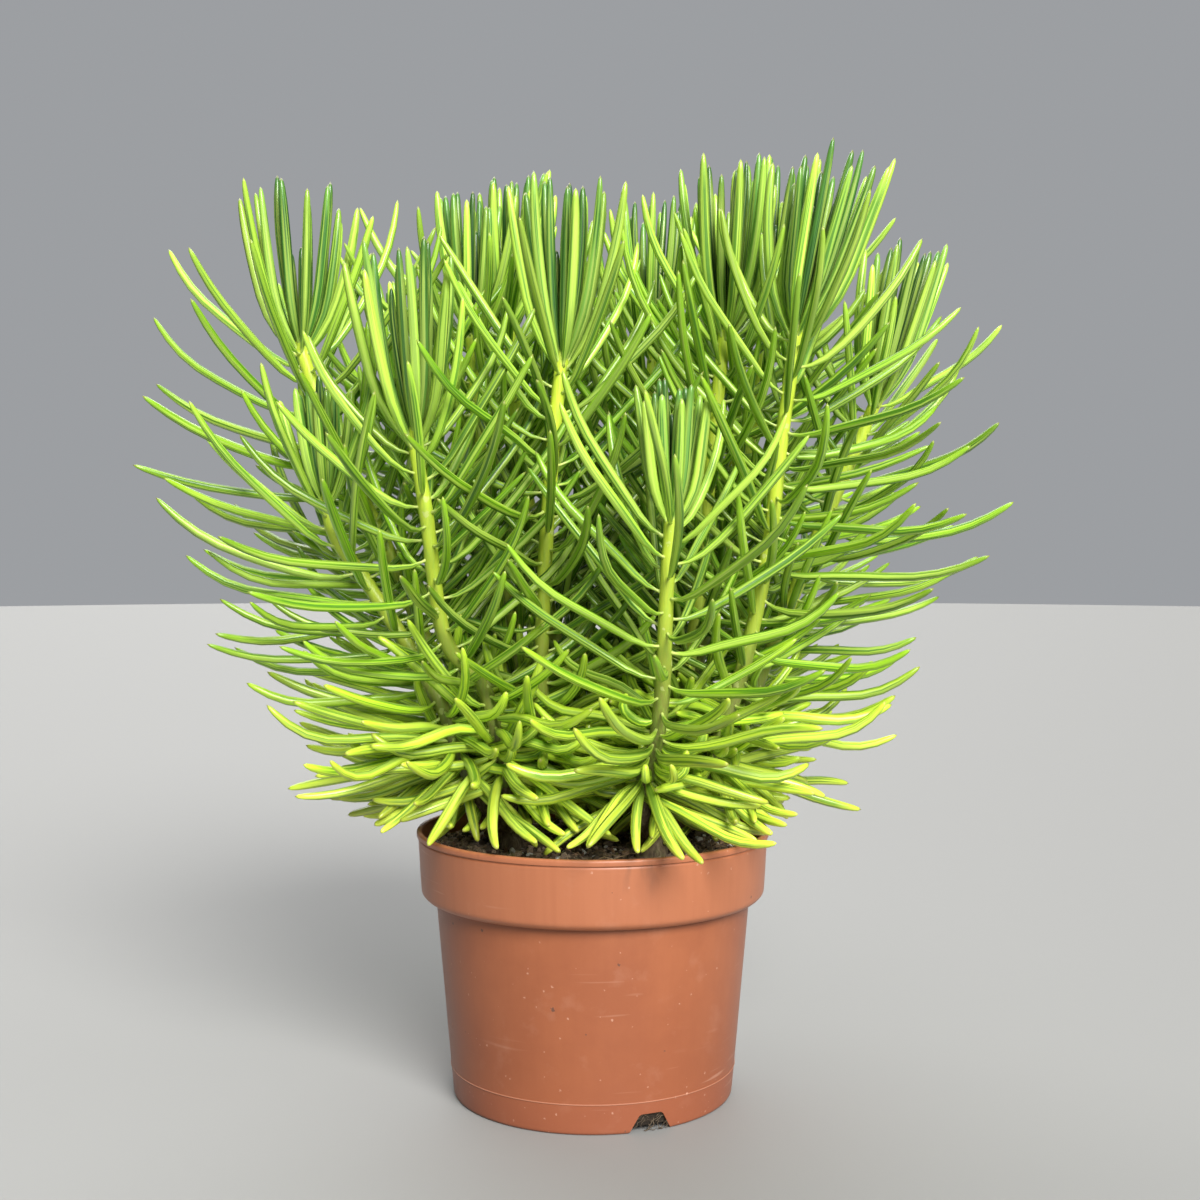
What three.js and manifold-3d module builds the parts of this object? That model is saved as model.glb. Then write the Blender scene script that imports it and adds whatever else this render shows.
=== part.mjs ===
// A finger-leaved senecio in its round plastic nursery pot.
// Millimetres, +Z up. The origin is the centre of the pot's underside, and -Y is the front.
import * as THREE from 'three';
import { mergeVertices } from 'three/addons/utils/BufferGeometryUtils.js';
import Module from 'manifold-3d';

const wasm = await Module();
wasm.setup();

// ---- Driving dimensions ----

const gap = 0.3; // clearance between neighbouring pieces

const potSize = {
  height: 127.5, // underside to the top of the lip
  lipRadius: 85,
  lipHeight: 3, // rounded bead round the mouth
  grooveDepth: 1.1, // the bead stands this far proud of the band
  bandTopRadius: 84.2,
  bandRadius: 82.8, // above the chamfer at the band's lower edge
  bandBottom: 95.4,
  bandChamferHeight: 3.6,
  bandUndersideRadius: 79.2,
  bodyTopRadius: 75.7,
  baseRadius: 67.7,
  baseChamfer: 1.2,
  wall: 1.5,
  floor: 1.6,
  segments: 40,
};

const notchSize = {
  count: 3, // drain notches, equally spaced round the foot
  firstAngle: 23, // degrees to the right of the front
  topWidth: 11,
  bottomWidth: 21,
  height: 8.7,
  innerRadius: 58, // how far the notch runs in under the floor
  outerRadius: 72,
};

const soilSize = {
  edgeHeight: 116, // soil surface at the pot wall
  crownHeight: 120, // soil surface in the middle
  socketDepth: 22, // how deep the woody bases stand in the soil
};

const leafSize = {
  rootRadius: 1.25, // narrow foot where the leaf leaves the stem
  sideRadius: 2.9,
  crownRadius: 2.8,
  lowRadius: 3.5, // short fat leaves near the soil
  sides: 3,
  pieces: 3, // straight stretches from foot to tip
  steps: 12, // finer steps that the bend is worked out on
};

const stemSize = {
  topRadius: 2.7,
  bottomRadius: 3.5,
  sides: 6,
  steps: 7,
};

const budSize = {
  height: 11, // growing tip that carries the upright leaves
  bottomRadius: 2.8,
  topRadius: 1.4,
};

const leavesPerShoot = 16;
const leavesPerCrown = 8;
const goldenAngle = 137.508;
const clearance = 0.55; // kept between a leaf and any other piece, on top of both radii
const sampleStep = 2; // spacing of the points that the clearance is measured on

// Three woody plants stand in the pot. Each forks low down into the shoots named in the next list.
const woodyBases = {
  left: { foot: [-41, -6], fork: [-42, -5, 131], radius: 7.5 },
  right: { foot: [27, -31], fork: [30, -28, 130], radius: 7.5 },
  back: { foot: [14, 44], fork: [14, 45, 131], radius: 7 },
};

// Centre lines of the shoots, from the fork to the head.
// lean is how far the tip of the crown stands off the head, to +X and +Y.
const shoots = [
  { base: 'left', lean: [-1, 2], turn: 20,
    line: [[-61, -1, 150], [-72, -2, 195], [-97, -2, 258], [-126, 0, 318], [-140, 0, 358]] },
  { base: 'left', lean: [-6, -4], turn: 95,
    line: [[-56, -22, 150], [-74, -27, 196], [-106, -28, 248], [-119, -30, 267], [-124, -30, 286]] },
  { base: 'left', lean: [-4, -6], turn: 150,
    line: [[-40, -27, 152], [-50, -40, 199], [-67, -48, 222], [-74, -58, 277], [-79, -60, 311]] },
  { base: 'left', lean: [1, -3], turn: 250,
    line: [[-24, -12, 152], [-24, -24, 205], [-22, -30, 257], [-18, -37, 310], [-14, -40, 348]] },
  { base: 'left', lean: [0, 3], turn: 310,
    line: [[-28, 18, 152], [-42, 26, 230], [-56, 29, 310], [-61, 30, 371]] },
  { base: 'back', lean: [2, 4], turn: 65,
    line: [[-6, 40, 151], [-22, 43, 230], [-37, 45, 310], [-43, 46, 378]] },
  { base: 'right', lean: [1, -2], turn: 190,
    line: [[37, -4, 150], [46, -1, 205], [52, -3, 243], [56, -5, 299], [63, -5, 365]] },
  { base: 'right', lean: [17, -4], turn: 285,
    line: [[52, -21, 151], [70, -26, 205], [82, -31, 265], [86, -35, 305], [93, -40, 360]] },
  { base: 'right', lean: [0, -5], turn: 35,
    line: [[21, -47, 149], [28, -65, 175], [31, -78, 205], [32, -86, 241], [34, -90, 277]] },
  { base: 'right', lean: [20, 3], turn: 120,
    line: [[60, 4, 149], [84, 8, 205], [107, 9, 262], [126, 10, 306], [138, 10, 334]] },
  { base: 'back', lean: [2, 5], turn: 230,
    line: [[16, 52, 152], [24, 60, 230], [29, 67, 300], [31, 70, 365]] },
  { base: 'back', lean: [9, 3], turn: 345,
    line: [[38, 36, 151], [58, 38, 225], [77, 40, 305], [87, 40, 377]] },
  { base: 'left', lean: [-12, 12], turn: 5,
    line: [[-47, 17, 150], [-66, 38, 205], [-83, 64, 270], [-90, 80, 330]] },
  { base: 'back', lean: [8, 10], turn: 80,
    line: [[35, 57, 150], [58, 78, 225], [74, 90, 305], [80, 95, 370]] },
  { base: 'back', lean: [-2, 12], turn: 165,
    line: [[-1, 62, 151], [-5, 86, 215], [-2, 104, 285], [0, 110, 350]] },
  { base: 'back', lean: [4, 14], turn: 270,
    line: [[21, 71, 148], [36, 98, 192], [44, 113, 236], [46, 120, 285]] },
];

// Long leaves that reach furthest out, each placed by hand on its shoot.
// below is the distance under the head, azimuth runs from +X towards +Y, pitches are foot, middle, tip.
const reachingLeaves = [
  { shoot: 0, below: 20, azimuth: 184, pitch: [8, -16, 6], length: 101 },
  { shoot: 0, below: 36, azimuth: 172, pitch: [-6, -2, 34], length: 96 },
  { shoot: 1, below: 34, azimuth: 188, pitch: [-8, 4, 34], length: 100 },
  { shoot: 1, below: 54, azimuth: 196, pitch: [-12, 2, 28], length: 104 },
  { shoot: 2, below: 130, azimuth: 202, pitch: [-24, -6, 16], length: 98 },
  { shoot: 9, below: 24, azimuth: 356, pitch: [-26, 6, 34], length: 74 },
  { shoot: 9, below: 58, azimuth: 4, pitch: [-8, 2, 20], length: 86 },
  { shoot: 9, below: 98, azimuth: 350, pitch: [-16, 4, 30], length: 94 },
  { shoot: 9, below: 150, azimuth: 345, pitch: [-12, -8, 12], length: 70 },
  { shoot: 15, below: 60, azimuth: 92, pitch: [0, 12, 40], length: 100 },
  { shoot: 14, below: 70, azimuth: 100, pitch: [0, 14, 42], length: 104 },
];

// ---- Finishes ----

const material = (color, roughness) =>
  new THREE.MeshStandardMaterial({ color: new THREE.Color(...color), roughness, metalness: 0 });

const potFinish = material([0.43, 0.13, 0.07], 0.45);
const soilFinish = material([0.03, 0.022, 0.016], 0.95);
const woodFinish = material([0.16, 0.12, 0.06], 0.8);
const shootFinish = material([0.2, 0.42, 0.06], 0.4);
const crownFinish = material([0.14, 0.36, 0.05], 0.35);

// ---- Small helpers ----

const radians = THREE.MathUtils.degToRad;
const mix = THREE.MathUtils.lerp;
const smooth = THREE.MathUtils.smoothstep;
const vec = (point) => new THREE.Vector3(...point);

// A repeatable value from 0 to 1 for one leaf and one use.
function chance(shoot, leaf, use) {
  const wave = Math.sin(shoot * 127.1 + leaf * 311.7 + use * 74.7) * 43758.5453;
  return wave - Math.floor(wave);
}

// The same, from -1 to 1.
const scatter = (shoot, leaf, use) => chance(shoot, leaf, use) * 2 - 1;

function solidOf(geometry) {
  geometry.deleteAttribute('normal');
  geometry.deleteAttribute('uv');
  const merged = mergeVertices(geometry, 1e-5);
  const vertProperties = new Float32Array(merged.attributes.position.array);
  const triVerts = new Uint32Array(merged.index.array);
  return new wasm.Manifold(new wasm.Mesh({ numProp: 3, vertProperties, triVerts }));
}

function geometryOf(solid) {
  const { numProp, vertProperties, triVerts } = solid.getMesh();
  const geometry = new THREE.BufferGeometry();
  const positions = new Float32Array((vertProperties.length / numProp) * 3);
  for (let i = 0; i < positions.length / 3; i += 1) {
    for (let k = 0; k < 3; k += 1) positions[i * 3 + k] = vertProperties[i * numProp + k];
  }
  geometry.setAttribute('position', new THREE.BufferAttribute(positions, 3));
  geometry.setIndex(new THREE.BufferAttribute(new Uint32Array(triVerts), 1));
  return geometry;
}

// A cylinder or cone whose rings are moved onto the given points, with a radius for each.
function sweep(points, radii, sides) {
  const last = points.length - 1;
  const pointed = radii[last] === 0;
  const geometry = new THREE.CylinderGeometry(pointed ? 0 : 1, 1, last, sides, last);
  geometry.deleteAttribute('normal');
  geometry.deleteAttribute('uv');
  const start = points[1].clone().sub(points[0]).normalize();
  const sideways = new THREE.Vector3(-start.y, start.x, 0);
  if (sideways.length() < 1e-3) sideways.set(1, 0, 0);
  sideways.normalize();
  const rings = points.map((point, i) => {
    const along = points[Math.min(i + 1, last)].clone().sub(points[Math.max(i - 1, 0)]).normalize();
    const across = sideways.clone().addScaledVector(along, -sideways.dot(along)).normalize();
    return { point, across, over: along.clone().cross(across), radius: radii[i] };
  });
  const position = geometry.attributes.position;
  for (let i = 0; i < position.count; i += 1) {
    const ring = rings[Math.round(position.getY(i) + last / 2)];
    const place = ring.point.clone();
    place.addScaledVector(ring.across, position.getZ(i) * ring.radius);
    place.addScaledVector(ring.over, position.getX(i) * ring.radius);
    position.setXYZ(i, place.x, place.y, place.z);
  }
  return solidOf(geometry);
}

function turned(profile, segments) {
  const points = profile.map(([radius, height]) => new THREE.Vector2(radius, height));
  const geometry = new THREE.LatheGeometry(points, segments);
  geometry.rotateX(Math.PI / 2);
  return solidOf(geometry);
}

function joined(solids) {
  return solids.reduce((whole, solid) => whole.add(solid));
}

const model = new THREE.Group();

function addPiece(name, solid, finish) {
  const mesh = new THREE.Mesh(geometryOf(solid), finish);
  mesh.name = name;
  model.add(mesh);
}

// ---- Pot ----

function makePot() {
  const p = potSize;
  const lipBottom = p.height - p.lipHeight;
  const bandChamferTop = p.bandBottom + p.bandChamferHeight;
  const outside = [
    [0, 0],
    [p.baseRadius - p.baseChamfer, 0],
    [p.baseRadius, p.baseChamfer],
    [p.bodyTopRadius, p.bandBottom],
    [p.bandUndersideRadius, p.bandBottom],
    [p.bandRadius, bandChamferTop],
    [p.bandTopRadius, lipBottom - 0.4],
    [p.lipRadius - p.grooveDepth, lipBottom],
    [p.lipRadius, lipBottom + 0.7],
    [p.lipRadius, p.height - 0.8],
    [p.lipRadius - 0.8, p.height],
  ];
  const inside = [
    [p.bandTopRadius - p.wall - 0.3, p.height],
    [p.bandTopRadius - p.wall - 0.4, lipBottom],
    [p.bandRadius - p.wall, bandChamferTop + 0.6],
    [p.bandUndersideRadius - p.wall, p.bandBottom + p.wall],
    [p.bodyTopRadius - p.wall, p.bandBottom + p.wall],
    [p.baseRadius - p.wall, p.floor],
    [0, p.floor],
  ];
  let pot = turned([...outside, ...inside], p.segments);
  for (let i = 0; i < notchSize.count; i += 1) {
    pot = pot.subtract(notchCutter(notchSize.firstAngle + (i * 360) / notchSize.count));
  }
  return pot;
}

// The trapezoid of a drain notch, pushed outwards through the foot of the wall.
function notchCutter(angle) {
  const n = notchSize;
  const outline = new THREE.Shape([
    new THREE.Vector2(-n.bottomWidth / 2, -1),
    new THREE.Vector2(n.bottomWidth / 2, -1),
    new THREE.Vector2(n.topWidth / 2, n.height),
    new THREE.Vector2(-n.topWidth / 2, n.height),
  ]);
  const depth = n.outerRadius - n.innerRadius;
  const geometry = new THREE.ExtrudeGeometry(outline, { depth, bevelEnabled: false });
  const a = radians(angle);
  const outward = new THREE.Vector3(Math.sin(a), -Math.cos(a), 0);
  const tangent = new THREE.Vector3(Math.cos(a), Math.sin(a), 0);
  const place = new THREE.Matrix4().makeBasis(tangent, new THREE.Vector3(0, 0, 1), outward);
  place.setPosition(outward.clone().multiplyScalar(n.innerRadius));
  geometry.applyMatrix4(place);
  return solidOf(geometry);
}

// ---- Soil ----

function makeSoil() {
  const p = potSize;
  const s = soilSize;
  const step = p.bandBottom + p.wall + gap;
  const slope = (p.bandTopRadius - p.bandRadius) / (p.height - p.bandBottom - p.bandChamferHeight);
  const edgeRadius = p.bandRadius - p.wall + slope * (s.edgeHeight - step) - 2 * gap;
  let soil = turned([
    [0, p.floor + gap],
    [p.baseRadius - p.wall - 2 * gap, p.floor + gap],
    [p.bodyTopRadius - p.wall - gap - 0.1, step],
    [p.bandUndersideRadius - p.wall - gap, step],
    [p.bandRadius - p.wall - 2 * gap, step + p.bandChamferHeight],
    [edgeRadius, s.edgeHeight],
    [edgeRadius * 0.8, s.edgeHeight + 1.6],
    [edgeRadius * 0.45, s.crownHeight - 0.6],
    [0, s.crownHeight],
  ], p.segments);
  for (const base of Object.values(woodyBases)) {
    soil = soil.subtract(trunk(base, gap));
  }
  return soil;
}

// ---- Woody bases ----

// The trunk of one plant, from inside the soil up to its fork. margin makes a looser copy.
function trunk(base, margin) {
  const bottom = soilSize.edgeHeight - soilSize.socketDepth - margin;
  const top = vec(base.fork);
  const foot = new THREE.Vector3(base.foot[0], base.foot[1], bottom);
  const middle = new THREE.Vector3(base.foot[0], base.foot[1], soilSize.crownHeight);
  const r = base.radius + margin;
  return sweep([foot, middle, top], [r * 0.9, r, r * 0.75], 8);
}

// One limb of the woody base, from the fork up to the foot of a shoot.
function limb(base, shoot) {
  const from = vec(base.fork);
  const to = vec(shoot.line[0]);
  const along = vec(shoot.line[1]).sub(to).normalize();
  const end = to.clone().addScaledVector(along, -gap);
  from.z -= 6;
  const bend = end.clone().addScaledVector(along, -0.35 * end.distanceTo(from));
  bend.lerp(new THREE.Vector3(from.x, from.y, bend.z), 0.25);
  const curve = new THREE.QuadraticBezierCurve3(from, bend, end);
  const points = curve.getPoints(3);
  const beforeEnd = end.clone().addScaledVector(along, -3);
  points.splice(3, 0, beforeEnd);
  const r = stemSize.bottomRadius;
  return sweep(points, [r * 1.5, r * 1.35, r * 1.15, r, r], 5);
}

function makeBase(key) {
  const base = woodyBases[key];
  const limbs = shoots.filter((shoot) => shoot.base === key).map((shoot) => limb(base, shoot));
  return joined([trunk(base, 0), ...limbs]);
}

// ---- Leaves ----

// Length, radius and the three pitches of the leaf that grows a given way below the head.
function leafHabit(shoot, leaf, below, height) {
  const low = 1 - smooth(height, 158, 222);
  const droop = 1 - smooth(height, 150, 172);
  const far = smooth(below, 0, 95);
  const pitch = [
    mix(mix(36, 0, far), mix(2, -42, droop), low),
    mix(mix(50, 12, far), mix(8, -46, droop), low),
    mix(mix(68, 38, far), mix(20, -52, droop), low),
  ];
  const wander = [13, 11, 14].map((spread, i) => spread * scatter(shoot, leaf, 3 + i));
  let length = mix(mix(84, 106, smooth(below, 0, 60)), mix(68, 50, droop), low);
  length *= 1 + 0.13 * scatter(shoot, leaf, 2);
  const radius = mix(leafSize.sideRadius, leafSize.lowRadius, low);
  return { length, radius, pitch: pitch.map((angle, i) => angle + wander[i]) };
}

// Points along a leaf whose pitch runs smoothly from foot to middle to tip.
function leafLine(root, azimuth, pitch, length) {
  const points = [root.clone()];
  const place = root.clone();
  const n = leafSize.steps;
  for (let i = 0; i < n; i += 1) {
    const t = (i + 0.5) / n;
    const angle = t < 0.5
      ? mix(pitch[0], pitch[1], smooth(t, 0, 0.5))
      : mix(pitch[1], pitch[2], smooth(t, 0.5, 1));
    const flat = Math.cos(radians(angle)) * (length / n);
    place.x += Math.cos(radians(azimuth)) * flat;
    place.y += Math.sin(radians(azimuth)) * flat;
    place.z += Math.sin(radians(angle)) * (length / n);
    points.push(place.clone());
  }
  const stride = n / leafSize.pieces;
  return points.filter((point, i) => i % stride === 0);
}

function leafSolid(leaf) {
  const r = leaf.radius;
  return sweep(leaf.points, [leafSize.rootRadius, r, r * 0.92, 0], leafSize.sides);
}

// ---- Room between the pieces ----

const cellSize = 12;
const cells = new Map();
const cellKey = (...place) => place.map((value) => Math.floor(value / cellSize)).join();

// Points every couple of millimetres along a line of straight stretches, with the local radius.
function samples(points, radii) {
  const found = [];
  for (let i = 0; i < points.length - 1; i += 1) {
    const steps = Math.max(1, Math.ceil(points[i].distanceTo(points[i + 1]) / sampleStep));
    for (let k = 0; k <= steps; k += 1) {
      const t = k / steps;
      const point = points[i].clone().lerp(points[i + 1], t);
      found.push({ point, radius: mix(radii[i], radii[i + 1], t) });
    }
  }
  return found;
}

function occupy(owner, line) {
  for (const { point, radius } of line) {
    const key = cellKey(point.x, point.y, point.z);
    if (!cells.has(key)) cells.set(key, []);
    cells.get(key).push({ owner, point, radius });
  }
}

// Whether a leaf keeps clear of everything that other owners hold, and of the pot and the soil.
function isFree(owner, line) {
  for (const { point, radius } of line) {
    const fromAxis = Math.hypot(point.x, point.y);
    const reach = radius + clearance;
    const towardsWall = smooth(fromAxis, 0, potSize.bandTopRadius);
    const soilTop = mix(soilSize.crownHeight, soilSize.edgeHeight, towardsWall);
    if (fromAxis < potSize.bandTopRadius - 2 && point.z - reach < soilTop + 1) return false;
    const overWall = fromAxis + reach > potSize.bandTopRadius - potSize.wall - 1;
    if (overWall && fromAxis - reach < potSize.lipRadius && point.z - reach < potSize.height) return false;
    for (let i = -1; i <= 1; i += 1) {
      for (let j = -1; j <= 1; j += 1) {
        for (let k = -1; k <= 1; k += 1) {
          const key = cellKey(point.x + i * cellSize, point.y + j * cellSize, point.z + k * cellSize);
          for (const other of cells.get(key) ?? []) {
            if (other.owner === owner) continue;
            if (other.point.distanceTo(point) < other.radius + reach) return false;
          }
        }
      }
    }
  }
  return true;
}

// ---- Shoots and crowns ----

const plants = shoots.map((shoot, index) => {
  const curve = new THREE.CatmullRomCurve3(shoot.line.map(vec), false, 'centripetal');
  const points = curve.getSpacedPoints(stemSize.steps);
  const radii = points.map((point, i) => mix(stemSize.bottomRadius, stemSize.topRadius, i / stemSize.steps));
  const head = points[points.length - 1];
  const along = curve.getTangentAt(1);
  const tilt = new THREE.Vector3(shoot.lean[0], shoot.lean[1], 85).normalize();
  return { shoot, index, curve, points, radii, head, along, tilt, length: curve.getLength() };
});

// The growing tip above the head, with a gap to the stem under it.
function budLine(plant) {
  const from = plant.head.clone().addScaledVector(plant.along, gap);
  const middle = from.clone().addScaledVector(plant.along, budSize.height * 0.4);
  return [from, middle, middle.clone().addScaledVector(plant.tilt, budSize.height * 0.6)];
}

// Upright leaves of one crown: steep in the middle, opening outwards round the edge.
function crownLeaves(plant) {
  const leaves = [];
  const [from, middle, top] = budLine(plant);
  for (let k = 0; k < leavesPerCrown; k += 1) {
    const out = k / (leavesPerCrown - 1);
    const azimuth = plant.shoot.turn + k * goldenAngle + 12 * scatter(plant.index, k, 11);
    const steep = [mix(80, 52, out), mix(86, 72, out), mix(88, 82, out)];
    const length = mix(70, 84, out) * (1 + 0.07 * scatter(plant.index, k, 12));
    const root = top.clone().lerp(out < 0.5 ? middle : from, out < 0.5 ? 0.3 + out : 0.7);
    const upright = steep.map((angle, i) => angle + 4 * scatter(plant.index, k, 13 + i));
    const line = leafLine(root, azimuth, upright, length);
    // The whole crown follows the tilt of the shoot.
    const points = line.map((point, i) => {
      const rise = (length * i) / leafSize.pieces;
      return point.clone().add(new THREE.Vector3(plant.tilt.x * rise, plant.tilt.y * rise, 0));
    });
    leaves.push({ points, radius: leafSize.crownRadius });
  }
  return leaves;
}

const tapered = (radius) => [leafSize.rootRadius, radius, radius * 0.92, 0.2];

// Tries a leaf where it wants to grow, then turned, raised, lowered or shortened a little.
function growLeaf(plant, wish) {
  const turns = [0, 9, -9, 18, -18, 27, -27];
  const lifts = [0, 7, -7, 14, -14];
  const at = 1 - wish.below / plant.length;
  const root = plant.curve.getPointAt(Math.max(at, 0.01));
  for (const scale of [1, 0.85, 0.7]) {
    for (const lift of lifts) {
      for (const turn of turns) {
        const pitch = wish.pitch.map((angle) => angle + lift);
        const points = leafLine(root, wish.azimuth + turn, pitch, wish.length * scale);
        const line = samples(points, tapered(wish.radius));
        if (isFree(plant.owner, line.slice(2))) return { points, radius: wish.radius, line };
      }
    }
  }
  return null;
}

for (const [key, base] of Object.entries(woodyBases)) {
  const foot = new THREE.Vector3(base.foot[0], base.foot[1], soilSize.edgeHeight);
  occupy(`base_${key}`, samples([foot, vec(base.fork)], [base.radius, base.radius]));
  for (const shoot of shoots.filter((one) => one.base === key)) {
    const line = [vec(base.fork), vec(shoot.line[0])];
    occupy(`base_${key}`, samples(line, [stemSize.bottomRadius * 1.6, stemSize.bottomRadius * 1.1]));
  }
}

const numbered = (word, index) => `${word}_${String(index + 1).padStart(2, '0')}`;

for (const plant of plants) {
  plant.owner = numbered('shoot', plant.index);
  plant.leaves = [];
  const fine = plant.curve.getSpacedPoints(30);
  occupy(plant.owner, samples(fine, fine.map(() => stemSize.bottomRadius)));
}

for (const plant of plants) {
  const owner = numbered('crown', plant.index);
  const bud = budLine(plant);
  occupy(owner, samples(bud, [budSize.bottomRadius, budSize.bottomRadius, budSize.topRadius]));
  plant.crown = crownLeaves(plant).filter((leaf) => {
    const line = samples(leaf.points, tapered(leaf.radius));
    const free = isFree(owner, line.slice(5));
    if (free) occupy(owner, line);
    return free;
  });
}

function keepLeaf(plant, wish) {
  const leaf = growLeaf(plant, wish);
  if (!leaf) return;
  occupy(plant.owner, leaf.line);
  plant.leaves.push(leaf);
}

for (const { shoot, ...wish } of reachingLeaves) {
  keepLeaf(plants[shoot], { ...wish, radius: leafSize.sideRadius });
}

for (let k = 0; k < leavesPerShoot; k += 1) {
  for (const plant of plants) {
    const spread = plant.length - 14;
    const below = 8 + (spread * (k + 0.4 * chance(plant.index, k, 1))) / leavesPerShoot;
    const root = plant.curve.getPointAt(Math.max(1 - below / plant.length, 0));
    const habit = leafHabit(plant.index, k, below, root.z);
    const azimuth = plant.shoot.turn + k * goldenAngle + 10 * scatter(plant.index, k, 0);
    keepLeaf(plant, { ...habit, below, azimuth });
  }
}

// ---- The whole model ----

addPiece('pot', makePot(), potFinish);
addPiece('soil', makeSoil(), soilFinish);
for (const key of Object.keys(woodyBases)) {
  addPiece(`woody_base_${key}`, makeBase(key), woodFinish);
}
for (const plant of plants) {
  const stem = sweep(plant.points, plant.radii, stemSize.sides);
  addPiece(plant.owner, joined([stem, ...plant.leaves.map(leafSolid)]), shootFinish);
  const bud = sweep(budLine(plant), [budSize.bottomRadius, budSize.bottomRadius, budSize.topRadius], 6);
  const crown = joined([bud, ...plant.crown.map(leafSolid)]);
  addPiece(numbered('crown', plant.index), crown, crownFinish);
}

export default model;
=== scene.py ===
import math
import random

import bmesh
import bpy
import numpy as np
from mathutils import Matrix, Vector, noise


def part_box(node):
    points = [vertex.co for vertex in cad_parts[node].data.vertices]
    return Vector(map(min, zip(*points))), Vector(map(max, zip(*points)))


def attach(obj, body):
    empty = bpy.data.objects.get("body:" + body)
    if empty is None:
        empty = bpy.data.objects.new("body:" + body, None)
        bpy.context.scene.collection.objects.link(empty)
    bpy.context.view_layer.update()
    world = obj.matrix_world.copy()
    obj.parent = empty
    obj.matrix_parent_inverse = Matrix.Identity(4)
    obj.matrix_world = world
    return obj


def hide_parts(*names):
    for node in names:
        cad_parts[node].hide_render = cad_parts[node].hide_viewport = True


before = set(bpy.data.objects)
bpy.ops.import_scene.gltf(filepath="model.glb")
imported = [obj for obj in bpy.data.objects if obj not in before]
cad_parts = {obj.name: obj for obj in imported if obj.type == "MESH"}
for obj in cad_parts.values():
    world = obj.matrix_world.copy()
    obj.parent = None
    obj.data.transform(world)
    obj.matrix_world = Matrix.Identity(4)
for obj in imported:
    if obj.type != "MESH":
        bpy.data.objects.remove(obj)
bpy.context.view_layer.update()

mm = 0.001


def mix(a, b, t):
    return a + (b - a) * t


def ease(value, low, high):
    t = min(max((value - low) / (high - low), 0), 1)
    return t * t * (3 - 2 * t)


# Meshes and objects


def link(name, data):
    made = bpy.data.objects.new(name, data)
    bpy.context.scene.collection.objects.link(made)
    return made


def addObject(name, mesh, slot, finish, *nodes):
    piece = link(name, mesh)
    mesh.materials.append(finish)
    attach(piece, "root")
    if nodes:
        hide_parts(*nodes)
    return piece


def shadeSmooth(bm, smoothAngle):
    for face in bm.faces:
        face.smooth = True
    for edge in bm.edges:
        edge.smooth = len(edge.link_faces) < 2 or edge.calc_face_angle(0) < smoothAngle


def meshFrom(bm, name, smoothAngle=math.pi):
    shadeSmooth(bm, smoothAngle)
    mesh = bpy.data.meshes.new(name)
    bm.to_mesh(mesh)
    bm.free()
    return mesh


def applyModifiers(piece):
    graph = bpy.context.evaluated_depsgraph_get()
    finished = bpy.data.meshes.new_from_object(piece.evaluated_get(graph))
    old = piece.data
    piece.modifiers.clear()
    piece.data = finished
    finished.name = old.name
    bpy.data.meshes.remove(old)


def spinProfile(bm, profile, steps):
    verts = [bm.verts.new((radius * mm, 0, height * mm)) for radius, height in profile]
    edges = [bm.edges.new(pair) for pair in zip(verts, verts[1:])]
    bmesh.ops.spin(bm, geom=verts + edges, cent=(0, 0, 0), axis=(0, 0, 1), angle=2 * math.pi,
                   steps=steps, use_merge=True)
    bmesh.ops.remove_doubles(bm, verts=bm.verts, dist=1e-6)
    bmesh.ops.recalc_face_normals(bm, faces=bm.faces)


# Extrudes a ring of edges, and gives the new vertices and edges.
def extrudeRing(bm, edges):
    made = bmesh.ops.extrude_edge_only(bm, edges=edges)
    verts = [item for item in made["geom"] if isinstance(item, bmesh.types.BMVert)]
    edges = [item for item in made["geom"] if isinstance(item, bmesh.types.BMEdge)
             and all(vert in verts for vert in item.verts)]
    return verts, edges


# A closed tube: a ring is extruded from point to point, and the ends are capped.
def addTube(bm, points, radii, sides):
    points = [Vector(point) for point in points]
    across = (points[1] - points[0]).normalized().orthogonal().normalized()
    verts = bmesh.ops.create_circle(bm, cap_ends=True, segments=sides, radius=1)["verts"]
    unit = [vert.co.copy() for vert in verts]
    edges = [edge for edge in bm.edges if all(vert in verts for vert in edge.verts)]
    for index, (point, radius) in enumerate(zip(points, radii)):
        if index:
            verts, edges = extrudeRing(bm, edges)
        before = points[max(index - 1, 0)]
        after = points[min(index + 1, len(points) - 1)]
        along = (after - before).normalized()
        across = (across - along * across.dot(along)).normalized()
        other = along.cross(across)
        for vert, start in zip(verts, unit):
            vert.co = point + (across * start.x + other * start.y) * radius
    bmesh.ops.contextual_create(bm, geom=edges)


# The points of a line at the given places, where knots are the places of its own points.
def pick(places, knots, line):
    return np.stack([np.interp(places, knots, line[:, k]) for k in range(3)], -1)


# Points along a smooth line through the given ones, evenly spaced.
def smoothLine(points, count, finerSteps=24):
    points = [np.array(point, float) for point in points]
    points = [2 * points[0] - points[1], *points, 2 * points[-1] - points[-2]]
    found = []
    for a, b, c, d in zip(points, points[1:], points[2:], points[3:]):
        for t in np.linspace(0, 1, finerSteps, endpoint=False):
            found.append(0.5 * (2 * b + (c - a) * t + (2 * a - 5 * b + 4 * c - d) * t ** 2
                                + (3 * b - a - 3 * c + d) * t ** 3))
    found.append(points[-2])
    found = np.array(found)
    lengths = np.concatenate([[0], np.cumsum(np.linalg.norm(np.diff(found, axis=0), axis=1))])
    return pick(np.linspace(0, lengths[-1], count), lengths, found)


# Node helpers for the materials


def feed(tree, node, inputs):
    for socket, value in inputs.items():
        if isinstance(value, bpy.types.NodeSocket):
            tree.links.new(value, node.inputs[socket])
        else:
            node.inputs[socket].default_value = value


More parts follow.
